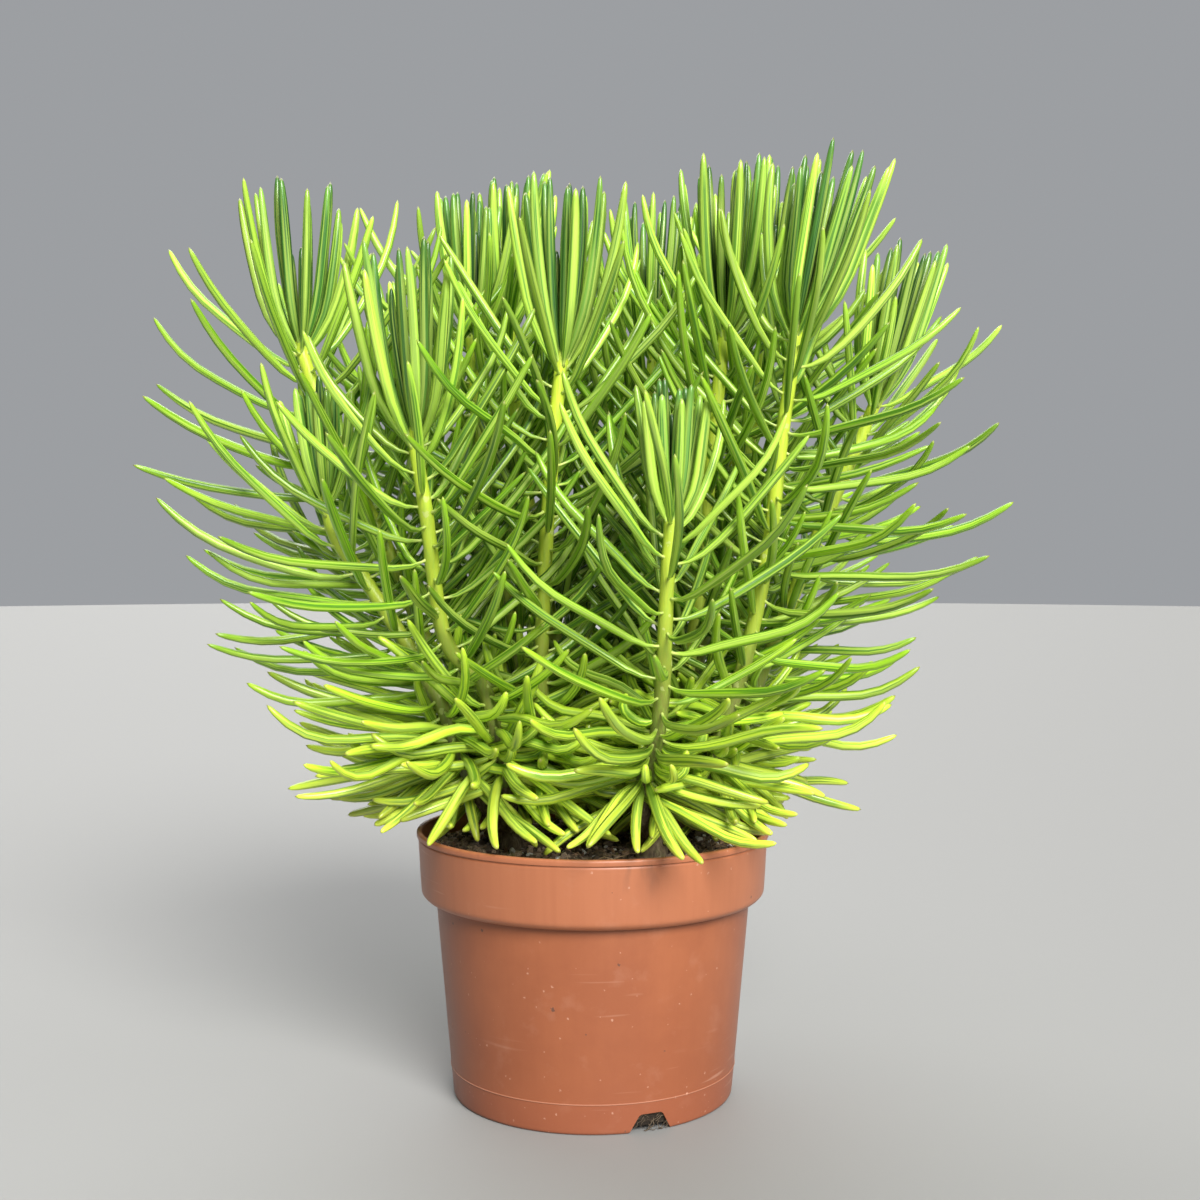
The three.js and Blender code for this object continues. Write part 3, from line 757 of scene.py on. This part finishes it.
def makeStemFinish():
    material, tree, shader = startMaterial("greenStem", {"Roughness": 0.42, "Coat Weight": 0.15,
                                                         "Coat Roughness": 0.3})
    place = objectPlace(tree)
    wander = scaled(tree, addMath(tree, "SUBTRACT", addNoise(tree, place, 30.0), 0.5), 0.05)
    level = addMath(tree, "ADD", heightOf(tree, place), wander)
    age = addRange(tree, level, stemFinish["brownBelow"], stemFinish["greenAbove"])
    colour = addRamp(tree, age, stemFinish["ages"])
    lines = stretched(tree, place, (900, 900, 60))
    streak = addRange(tree, addNoise(tree, lines, 1.0, 2.0), 0.4, 0.7, 0.0, 0.45)
    scars = placeGroup(tree, speckGroup, {"Place": place, "Scale": 210.0, "Amount": 0.6})
    scars = scaled(tree, scars, 0.6)
    colour = addLayers(tree, colour, stemFinish, (streak, "streak"), (scars, "scar"))
    feed(tree, shader, {"Base Color": colour})
    addBump(tree, shader, addMath(tree, "ADD", scars, streak), 0.35, 0.0006)
    return material


barkFinish = dict(
    tones=[(0.30, (0.035, 0.024, 0.014)), (0.50, (0.110, 0.080, 0.045)),
           (0.66, (0.210, 0.165, 0.100)), (0.85, (0.330, 0.280, 0.190))],
    green=(0.120, 0.150, 0.040),
)


def makeBarkFinish():
    material, tree, shader = startMaterial("woodyBark", {"Roughness": 0.85, "Specular IOR Level": 0.3})
    place = objectPlace(tree)
    grain = addNoise(tree, stretched(tree, place, (500, 500, 110)), 1.0, 5.0, 0.65)
    colour = addRamp(tree, grain, barkFinish["tones"])
    green = placeGroup(tree, patchGroup, {"Place": place, "Scale": 90.0, "Cover": 0.4})
    colour = addLayers(tree, colour, barkFinish, (scaled(tree, green, 0.4), "green"))
    feed(tree, shader, {"Base Color": colour})
    addBump(tree, shader, grain, 0.8, 0.0010)
    return material


# Leaves

leaf = dict(
    sides=6,
    rings=[(0.0, 0.46), (0.025, 0.30), (0.08, 0.55), (0.17, 0.82), (0.29, 0.95), (0.41, 1.0),
           (0.53, 1.0), (0.65, 0.98), (0.76, 0.92), (0.86, 0.82), (0.94, 0.64), (0.98, 0.41)],
    steps=20,  # finer steps that the bend is worked out on
    crown=20,  # leaves in the tuft on top of a shoot
    upperSpacing=3.0,  # millimetres of stem for each leaf
    lowerSpacing=0.85,
    hook=34,  # degrees by which the foot lies flatter than the rest
    hookShare=0.16,
    rootAway=2.4,  # from the middle of the stem to the foot of a side leaf
    firstBelow=3.0,  # how far under the head the side leaves start
    crowded=0.34,  # the greatest share of a leaf that may touch others
    goldenAngle=137.508,
    seed=5,
)


def makeLeafMaster():
    bm = bmesh.new()
    bmesh.ops.create_circle(bm, cap_ends=True, segments=leaf["sides"], radius=leaf["rings"][0][1])
    edges = list(bm.edges)
    bmesh.ops.reverse_faces(bm, faces=bm.faces)
    for (low, before), (high, after) in zip(leaf["rings"], leaf["rings"][1:] + [(1.0, 0.0)]):
        verts, edges = extrudeRing(bm, edges)
        bmesh.ops.translate(bm, verts=verts, vec=(0, 0, high - low))
        bmesh.ops.scale(bm, verts=verts, vec=(after / before, after / before, 1))
    bmesh.ops.pointmerge(bm, verts=verts, merge_co=(0, 0, 1))
    bmesh.ops.recalc_face_normals(bm, faces=bm.faces)
    pattern = bm.loops.layers.uv.new("leafMap")
    bm.loops.layers.uv.new("OFBake")
    for face in bm.faces:
        face.smooth = True
        middle = face.calc_center_median()
        turn = math.atan2(middle.y, middle.x) / (2 * math.pi) % 1
        for loop in face.loops:
            x, y, z = loop.vert.co
            if len(face.verts) > 4:  # the foot, hidden in the stem, lies in the margin
                loop[pattern].uv = (0.5 + x * 0.5, -0.015 + y * 0.02)
                continue
            u = math.atan2(y, x) / (2 * math.pi) % 1 if z < 1 else turn
            if u - turn > 0.5:
                u -= 1
            if turn - u > 0.5:
                u += 1
            loop[pattern].uv = (u, z)
    master = bpy.data.meshes.new("leafMaster")
    bm.to_mesh(master)
    bm.free()
    return master


leafMaster = makeLeafMaster()
masterPlaces = np.array([vert.co for vert in leafMaster.vertices])
masterMap = np.array([loop.uv for loop in leafMaster.uv_layers["leafMap"].data])
leafSteps = np.linspace(0, 1, leaf["steps"] + 1)


# A leaf grows in an upright plane that may turn a little: its pitch runs from foot to middle to tip.
def leafLine(root, azimuth, pitch, length, turn=0.0, lean=(0, 0), hook=0.0):
    t = (leafSteps[:-1] + leafSteps[1:]) / 2
    early = np.clip(t * 2, 0, 1)
    late = np.clip(t * 2 - 1, 0, 1)
    early, late = early * early * (3 - 2 * early), late * late * (3 - 2 * late)
    angle = np.radians(pitch[0] + (pitch[1] - pitch[0]) * early + (pitch[2] - pitch[1]) * late)
    angle -= np.radians(hook) * np.clip(1 - t / leaf["hookShare"], 0, 1)
    heading = np.radians(azimuth + turn * t * t)
    step = length / leaf["steps"]
    moves = np.stack([np.cos(angle) * np.cos(heading) * step + lean[0] * step,
                      np.cos(angle) * np.sin(heading) * step + lean[1] * step,
                      np.sin(angle) * step], 1)
    return np.vstack([root, root + np.cumsum(moves, axis=0)])


def bendLeaf(one):
    line = one["line"]
    along = np.gradient(line, axis=0)
    along /= np.linalg.norm(along, axis=1, keepdims=True)
    t = masterPlaces[:, 2]
    where = pick(t, leafSteps, line)
    ahead = pick(t, leafSteps, along)
    heading = math.radians(one["azimuth"])
    side = np.array([-math.sin(heading), math.cos(heading), 0])
    over = np.cross(ahead, side)
    over /= np.linalg.norm(over, axis=1, keepdims=True)
    return where + (masterPlaces[:, :1] * side + masterPlaces[:, 1:2] * over) * one["radius"]


def makeLeaves(name, leaves, slot, finish, node):
    bm = bmesh.new()
    for one in leaves:
        bm.from_mesh(leafMaster)
    mesh = bpy.data.meshes.new(name)
    bm.to_mesh(mesh)
    bm.free()
    mesh.vertices.foreach_set("co", np.concatenate([bendLeaf(one) for one in leaves]).ravel())
    # every leaf has its own strip on the second map
    columns = max(1, math.ceil(math.sqrt(len(leaves) * 5)))
    rows = math.ceil(len(leaves) / columns)
    cells = []
    for index in range(len(leaves)):
        corner = np.array([index % columns, index // columns])
        cells.append((corner + 0.06 + masterMap * [0.88, 0.92]) / [columns, rows])
    mesh.uv_layers["OFBake"].data.foreach_set("uv", np.concatenate(cells).ravel())
    # tone, age and amount of painted shade of each leaf
    tint = mesh.attributes.new("leafTint", "FLOAT_COLOR", "POINT")
    tints = np.array([(one["tone"], one["age"], one["depth"], 1) for one in leaves])
    tint.data.foreach_set("color", np.repeat(tints, len(masterPlaces), axis=0).ravel())
    mesh.update()
    return addObject(name, mesh, slot, finish, node)


# Room that is taken is marked in a grid of small cells, with room to spare for the next leaf.
room = dict(
    low=np.array([-0.27, -0.27, 0.09]),
    cell=1.6 * mm,
    taken=np.zeros((340, 340, 250), bool),
    spare=1.4 * mm, aboveSoil=0.4 * mm, aboveRim=0.6 * mm,
    stem=3.2 * mm, limb=4.0 * mm,
    insidePot=80 * mm,
)
around = np.stack(np.meshgrid(*[np.arange(-4, 5)] * 3), -1).reshape(-1, 3)


def finer(line, step):
    count = max(2, round(float(np.linalg.norm(np.diff(line, axis=0), axis=1).sum()) / step))
    return pick(np.linspace(0, 1, count), np.linspace(0, 1, len(line)), line)


def takeRoom(line, radius):
    reach = (radius + room["spare"]) / room["cell"]
    ball = around[np.linalg.norm(around, axis=1) < reach]
    cells = np.round((finer(line, 3 * mm) - room["low"]) / room["cell"]).astype(int)
    cells = (cells[:, None] + ball).reshape(-1, 3)
    room["taken"][tuple(np.clip(cells, 0, np.array(room["taken"].shape) - 1).T)] = True


# The share of a leaf that lies in taken room. Below the rim or the soil counts for more than that.
def crowding(line, radius):
    points = finer(line, 2.5 * mm)
    points = points[len(points) // 10:]
    cells = np.round((points - room["low"]) / room["cell"]).astype(int)
    share = room["taken"][tuple(cells.T)].mean()
    inside = np.hypot(points[:, 0], points[:, 1]) < room["insidePot"]
    floor = np.where(inside, soilBox[1].z + room["aboveSoil"], potBox[1].z + room["aboveRim"])
    sunk = float((floor + radius - points[:, 2]).max())
    return share + max(0, sunk / mm)


# Ways to turn aside, in the order they are tried: degrees to the side, degrees up, and share of the length.
tries = [(0, 0, 1)]
tries += [(swing, 0, 1) for swing in (8, -8, 16, -16)]
tries += [(swing, lift, 1) for lift in (7, -7, 14, -14) for swing in (0, 10, -10, 20, -20)]
tries += [(swing, lift, 0.8) for lift in (0, 10, -10, 22, 34) for swing in (0, 14, -14, 28, -28)]


def placeLeaf(root, azimuth, pitch, length, radius, turn):
    best = None
    for swing, lift, scale in tries:
        bent = [angle + lift * share for angle, share in zip(pitch, (0.8, 1.0, 1.0))]
        line = leafLine(root, azimuth + swing, bent, length * scale, turn, hook=leaf["hook"])
        share = crowding(line, radius)
        if best is None or share < best[0]:
            best = (share, line, azimuth + swing)
        if share == 0:
            break
    return best


def headingOf(azimuth):
    return np.array([math.cos(math.radians(azimuth)), math.sin(math.radians(azimuth)), 0])


# Each pair runs from the heart of the tuft to its outside. Pitches are for foot, middle and tip.
crown = dict(
    heights=(5, -4),
    away=(0.5, 2.2),
    pitches=((86, 54), (89, 78), (90, 82)),
    lengths=(0.93, 1.03),
    shortest=(0.45, 0.85),
    shortCount=4,  # the youngest leaves, which are short
    radii=(1.9, 2.4),
    # the dark heart and bright outside of a tuft are partly the leaves' own colour, partly painted shade and
    # painted light
    ages=(0.0, 0.24),
)


def growCrown(shoot, rng):
    tip = shoot["path"][-1]
    lean = np.array([*shoot["lean"], 0]) / stem["leanOver"]
    axis = np.array([lean[0], lean[1], 1.0])
    leaves = []
    for k in range(leaf["crown"]):
        out = k / (leaf["crown"] - 1)
        azimuth = shoot["turn"] + k * leaf["goldenAngle"] + rng.uniform(-10, 10)
        root = tip + axis * mix(*crown["heights"], out ** 0.8) * mm
        root = root + headingOf(azimuth) * mix(*crown["away"], out) * mm
        pitch = [mix(*pair, share) for pair, share in zip(crown["pitches"], (out ** 0.8, out, out))]
        pitch = [90 - (90 - angle) * shoot["spread"] + rng.uniform(-3.5, 3.5) for angle in pitch]
        length = shoot["tuft"] * mix(*crown["lengths"], out) * rng.uniform(0.9, 1.06)
        if k < crown["shortCount"]:
            length *= mix(*crown["shortest"], k / crown["shortCount"])
        radius = mix(*crown["radii"], ease(k, 0, 8)) * rng.uniform(0.9, 1.08)
        line = leafLine(root, azimuth, pitch, length * mm, rng.uniform(-25, 25), lean[:2])
        leaves.append(dict(line=line, azimuth=azimuth, radius=radius * mm, tone=rng.random(),
                           age=mix(*crown["ages"], out), depth=0.0))
        takeRoom(line, radius * mm)
    return leaves


# Pitches are in degrees and lengths in millimetres. Heights are above the ground, below is under the head.
habit = dict(
    young=(46, 53, 68),  # near the head
    grown=(34, 36, 50),  # further down
    outermost=(3, 10, 36),  # further down, and pointing out of the bush
    grownBelow=(5, 70),
    low=((-20, 34), (-12, 30), (0, 58)),
    lowHeights=(172, 215),
    hanging=((-50, -15), (-80, -35), (-86, -30)),
    hangHeights=(150, 178),
    curled=((-50, -10), (0, 40), (70, 120)),
    curledShare=0.14,
    curledLength=(18, 32),
    wander=(9, 8, 10),
    outwardDrop=8,
    length=(80, 98),  # just under the head and further down
    lowLength=60,
    lowLengthOut=19,  # this much longer when it points outwards
    radii=(2.05, 2.5),
    ages=(0.30, 0.56),
    lowAges=(0.84, 1.0),
)


# Pitches, length, radius and age of a side leaf, by where it grows. The leaves that point out of the bush
# lie flatter, and the lowest hang down to the soil.
def leafHabit(below, height, outward, rng):
    far = ease(below, *habit["grownBelow"])
    low = 1 - ease(height, *habit["lowHeights"])
    hang = (1 - ease(height, *habit["hangHeights"])) * (0.35 + 0.65 * rng.random())
    out = max(outward, 0)
    pitch = [mix(young, mix(grown, flat, out), far)
             for young, grown, flat in zip(habit["young"], habit["grown"], habit["outermost"])]
    lows = [rng.uniform(*span) for span in habit["low"]]
    hangs = [rng.uniform(*span) for span in habit["hanging"]]
    pitch = [mix(mix(a, b, low), c, hang) for a, b, c in zip(pitch, lows, hangs)]
    pitch = [angle - habit["outwardDrop"] * outward * (1 - low) for angle in pitch]
    pitch = [angle + rng.uniform(-spread, spread) for angle, spread in zip(pitch, habit["wander"])]
    upper = mix(*habit["length"], ease(below, 0, 55)) * mix(0.84, 1, ease(height, 200, 265))
    lower = mix(habit["lowLength"] + habit["lowLengthOut"] * out, habit["lowLength"], hang)
    length = mix(upper, lower, low)
    length *= 1 + rng.uniform(-0.12, 0.10) * mix(1, 1.8, low)
    radius = mix(*habit["radii"], low) * rng.uniform(0.9, 1.1)
    age = mix(mix(*habit["ages"], ease(below, 0, 90)), mix(*habit["lowAges"], hang), low)
    if low > 0.7 and rng.random() < habit["curledShare"]:
        pitch = [rng.uniform(*span) for span in habit["curled"]]
        length = rng.uniform(*habit["curledLength"])
    return pitch, length, radius, age


bush = dict(radius=185, top=430, shade=(85, 145), shadeHeights=(175, 235))


# Painted shade: 1 deep inside the bush, 0 near its outside, its top or the soil
def depthOf(line):
    x, y, z = line[len(line) // 2] / mm
    depth = min(bush["radius"] - math.hypot(x, y), bush["top"] - z)
    return ease(depth, *bush["shade"]) * ease(z, *bush["shadeHeights"])


# The point on a shoot's centre line that lies a given way under its head.
def pointBelow(shoot, below):
    path = shoot["path"]
    return pick((1 - below / (shoot["length"] / mm)) * (len(path) - 1), range(len(path)), path)


def growSide(shoot, below, root, azimuth, rng):
    away = root * (1, 1, 0)
    distance = max(np.linalg.norm(away), mm)
    heading = headingOf(azimuth)
    # leaves near the axis of the pot count less as pointing outwards
    outward = float(away @ heading) / distance * min(1, distance / 70 / mm)
    pitch, length, radius, age = leafHabit(below, root[2] / mm, outward, rng)
    length *= shoot.get("reach", 1)
    turn = rng.uniform(-30, 30)
    root = root + heading * leaf["rootAway"] * mm
    share, line, azimuth = placeLeaf(root, azimuth, pitch, length * mm, radius * mm, turn)
    if share > leaf["crowded"]:
        return None
    takeRoom(line, radius * mm)
    return dict(line=line, azimuth=azimuth, radius=radius * mm, tone=rng.random(), age=age,
                depth=depthOf(line))


# Every shoot grows a leaf in turn, from its head down.
def growSides():
    growing = list(shoots)
    while growing:
        for shoot in list(growing):
            below = shoot["below"]
            if below > shoot["length"] / mm - 1:
                growing.remove(shoot)
                continue
            root = pointBelow(shoot, below)
            grown = growSide(shoot, below, root, shoot["turned"], shoot["rng"])
            if grown:
                shoot["leaves"].append(grown)
            spacing = mix(leaf["lowerSpacing"], leaf["upperSpacing"], ease(root[2] / mm, 176, 205))
            shoot["below"] += spacing
            shoot["turned"] += leaf["goldenAngle"] + shoot["rng"].uniform(-9, 9)


leafFinish = dict(
    # by age; the dark heart of a tuft at 0 is partly its own colour and partly painted shade, and the bright
    # outer tuft leaves at 0.24 are partly their own lime colour and partly painted light from above
    ages=[(0.0, (0.018, 0.074, 0.020)), (0.12, (0.110, 0.270, 0.045)), (0.24, (0.520, 0.790, 0.085)),
          (0.42, (0.200, 0.405, 0.018)), (0.60, (0.255, 0.470, 0.016)), (0.82, (0.510, 0.715, 0.042)),
          (1.0, (0.670, 0.775, 0.080))],
    foot=(0.620, 0.720, 0.200),
    point=(0.300, 0.220, 0.080),
    dark=(0.11, 0.29, 0.27),
    pale=(0.700, 0.900, 0.160),
    # painted shade: multiplied into the leaves deep inside the bush
    inside=(0.36, 0.46, 0.50),
    towardsFoot=(0.420, 0.620, 0.070),
    tones=(0.66, 1.36),  # the darkest and the lightest leaf
)


def makeLeafFinish(name, gloss):
    material, tree, shader = startMaterial(name, {
        "Coat Weight": 0.45, "Coat Roughness": 0.22, "Specular IOR Level": 0.3})
    pattern = addNode(tree, "UVMap", uv_map="leafMap").outputs[0]
    along = addNode(tree, "SeparateXYZ", {0: pattern}).outputs[1]
    tint = addNode(tree, "Attribute", attribute_name="leafTint").outputs["Color"]
    tone, age, depth = addNode(tree, "SeparateColor", {0: tint}).outputs
    light = addRange(tree, tone, 0.0, 1.0, *leafFinish["tones"])
    light = addNode(tree, "CombineXYZ", {0: light, 1: light, 2: light}).outputs[0]
    colour = addMix(tree, 1.0, addRamp(tree, age, leafFinish["ages"]), light, "MULTIPLY")
    # painted shade: deeper and bluer green inside the bush; paler towards the foot
    inside = addLayers(tree, colour, leafFinish, (1.0, "inside"), blend="MULTIPLY")
    colour = addMix(tree, depth, colour, inside)
    near = addRange(tree, along, 0.0, 0.30, 0.40, 0.0)
    colour = addLayers(tree, colour, leafFinish, (near, "towardsFoot"))
    # dark and pale lines along the leaf, which fade out at the point
    fade = addRange(tree, along, 0.80, 0.96, 1.0, 0.0)
    streak = placeGroup(tree, streakGroup, {"Map": pattern, "Lines": 13.0, "Stretch": 0.8, "Seed": tone})
    streak = scaled(tree, streak, fade)
    other = addMath(tree, "ADD", tone, 3.0)
    shine = placeGroup(tree, streakGroup, {"Map": pattern, "Lines": 10.0, "Stretch": 0.6, "Seed": other})
    shine = scaled(tree, shine, fade)
    darker = addLayers(tree, colour, leafFinish, (1.0, "dark"), blend="MULTIPLY")
    colour = addMix(tree, scaled(tree, streak, 0.78), colour, darker)
    foot = addRange(tree, along, 0.02, 0.06, 0.9, 0.0)
    point = addRange(tree, along, 0.975, 0.995, 0.0, 0.6)
    colour = addLayers(tree, colour, leafFinish, (scaled(tree, shine, 0.34), "pale"), (foot, "foot"),
                       (point, "point"))
    rough = addMath(tree, "ADD", gloss, scaled(tree, streak, 0.12))
    feed(tree, shader, {"Base Color": colour, "Roughness": rough})
    return material


# Stage, lights and camera

stage = dict(
    floorRadius=6,
    floorColour=(0.26, 0.26, 0.255),
    wallColour=(0.62, 0.64, 0.67),
    wallLight=0.09,  # how strongly the wall lights the object
    wallSeen=0.54,  # how bright it looks
    # place, strength, spread in degrees and colour
    lights=dict(
        keyLight=((0.58, -1.5, 1.05), 5.9, 30, (1.0, 0.99, 0.96)),
        topLight=((0.25, -0.5, 1.6), 1.3, 60, (1.0, 1.0, 1.0)),
        backLight=((-0.3, 1.2, 1.3), 2.4, 60, (1.0, 1.0, 1.0)),
    ),
    cameraPlace=(0.0035, -0.796, 0.268),
    cameraTilt=87.8,
    lens=49.5,
    sensorWidth=36,
)


def addFloor():
    bm = bmesh.new()
    bmesh.ops.create_circle(bm, cap_ends=True, segments=96, radius=stage["floorRadius"])
    floor = link("floor", meshFrom(bm, "floor"))
    settings = {"Roughness": 0.7, "Base Color": (*stage["floorColour"], 1)}
    floor.data.materials.append(startMaterial("paleFloor", settings)[0])


def addWall():
    world = bpy.data.worlds.new("paleRoom")
    world.use_nodes = True
    tree = world.node_tree
    seen = addNode(tree, "LightPath").outputs["Is Camera Ray"]
    strength = addRange(tree, seen, 0.0, 1.0, stage["wallLight"], stage["wallSeen"])
    wall = tree.nodes["Background"]
    wall.inputs[0].default_value = (*stage["wallColour"], 1)
    tree.links.new(strength, wall.inputs[1])
    bpy.context.scene.world = world


def addLight(name, place, strength, spread, colour):
    data = bpy.data.lights.new(name, "SUN")
    data.angle = math.radians(spread)
    data.energy = strength
    data.color = colour
    light = link(name, data)
    light.location = place
    light.rotation_mode = "QUATERNION"
    light.rotation_quaternion = (-Vector(place)).to_track_quat("-Z", "Y")


def addCamera():
    data = bpy.data.cameras.new("camera")
    data.lens = stage["lens"]
    data.sensor_width = stage["sensorWidth"]
    camera = link("camera", data)
    camera.location = stage["cameraPlace"]
    camera.rotation_euler = (math.radians(stage["cameraTilt"]), 0, 0)
    bpy.context.scene.camera = camera


# Everything is made here. Dark and light colour, roughness and bump of each kind of grain.
grains = dict(
    soilCrumbs=((0.045, 0.032, 0.022), (0.480, 0.360, 0.250), 0.95, 0.7),
    barkChips=((0.120, 0.062, 0.034), (0.520, 0.340, 0.210), 0.85, 0.6),
    whitePerlite=((0.50, 0.47, 0.42), (0.86, 0.84, 0.78), 0.9, 0.5),
    rootFibres=((0.340, 0.230, 0.130), (0.700, 0.540, 0.350), 0.8, 0.2),
    dampRoots=((0.110, 0.080, 0.052), (0.300, 0.220, 0.140), 0.8, 0.2),
)

print("pot and soil")
makePot(makePotFinish())
makeSoil(makeSoilFinish())
grainPaint = {name: makeGrainFinish(name, *looks) for name, looks in grains.items()}
seed = soil["seed"]
scatterGrains("soilCrumbs", grainPaint["soilCrumbs"], soil["crumbs"], (1.0, 4.6), 1.6, 0.5, seed)
scatterGrains("barkChips", grainPaint["barkChips"], soil["bark"], (1.6, 3.4), 3.4, 0.3, seed + 1)
scatterGrains("perliteGrains", grainPaint["whitePerlite"], soil["perlite"], (1.8, 4.2), 1.2, 0.4, seed + 2, 2)
scatterFibres("rootFibres", grainPaint["rootFibres"], soil["fibres"], seed + 3)
fillNotches("notchRoots", grainPaint["dampRoots"], seed + 4)

print("woody bases and stems")
barkPaint = makeBarkFinish()
for key in woody:
    makeWoodyBase(key, barkPaint)
stemPaint = makeStemFinish()
for shoot in shoots:
    makeStem(shoot, stemPaint)
    takeRoom(shoot["path"], room["stem"])
    takeRoom(np.array(limbLine(woody[shoot["base"]], shoot)), room["limb"])

print("leaves")
crownPaint = makeLeafFinish("crownLeaf", 0.30)
sidePaint = makeLeafFinish("sideLeaf", 0.34)
for shoot in shoots:
    shoot["rng"] = random.Random(leaf["seed"] * 100 + shoot["number"])
    tuft = growCrown(shoot, shoot["rng"])
    makeLeaves("crownLeaves" + shoot["label"], tuft, "crown_leaves", crownPaint, "crown_" + shoot["label"])
    shoot["leaves"] = []
    shoot["below"] = leaf["firstBelow"]
    shoot["turned"] = shoot["turn"] + leaf["crown"] * leaf["goldenAngle"]
growSides()
for shoot in shoots:
    makeLeaves("sideLeaves" + shoot["label"], shoot["leaves"], "side_leaves", sidePaint,
               "shoot_" + shoot["label"])
print("side leaves:", sum(len(shoot["leaves"]) for shoot in shoots))

print("stage")
addFloor()
addWall()
for name, settings in stage["lights"].items():
    addLight(name, *settings)
addCamera()
bpy.context.scene.view_settings.view_transform = "Standard"
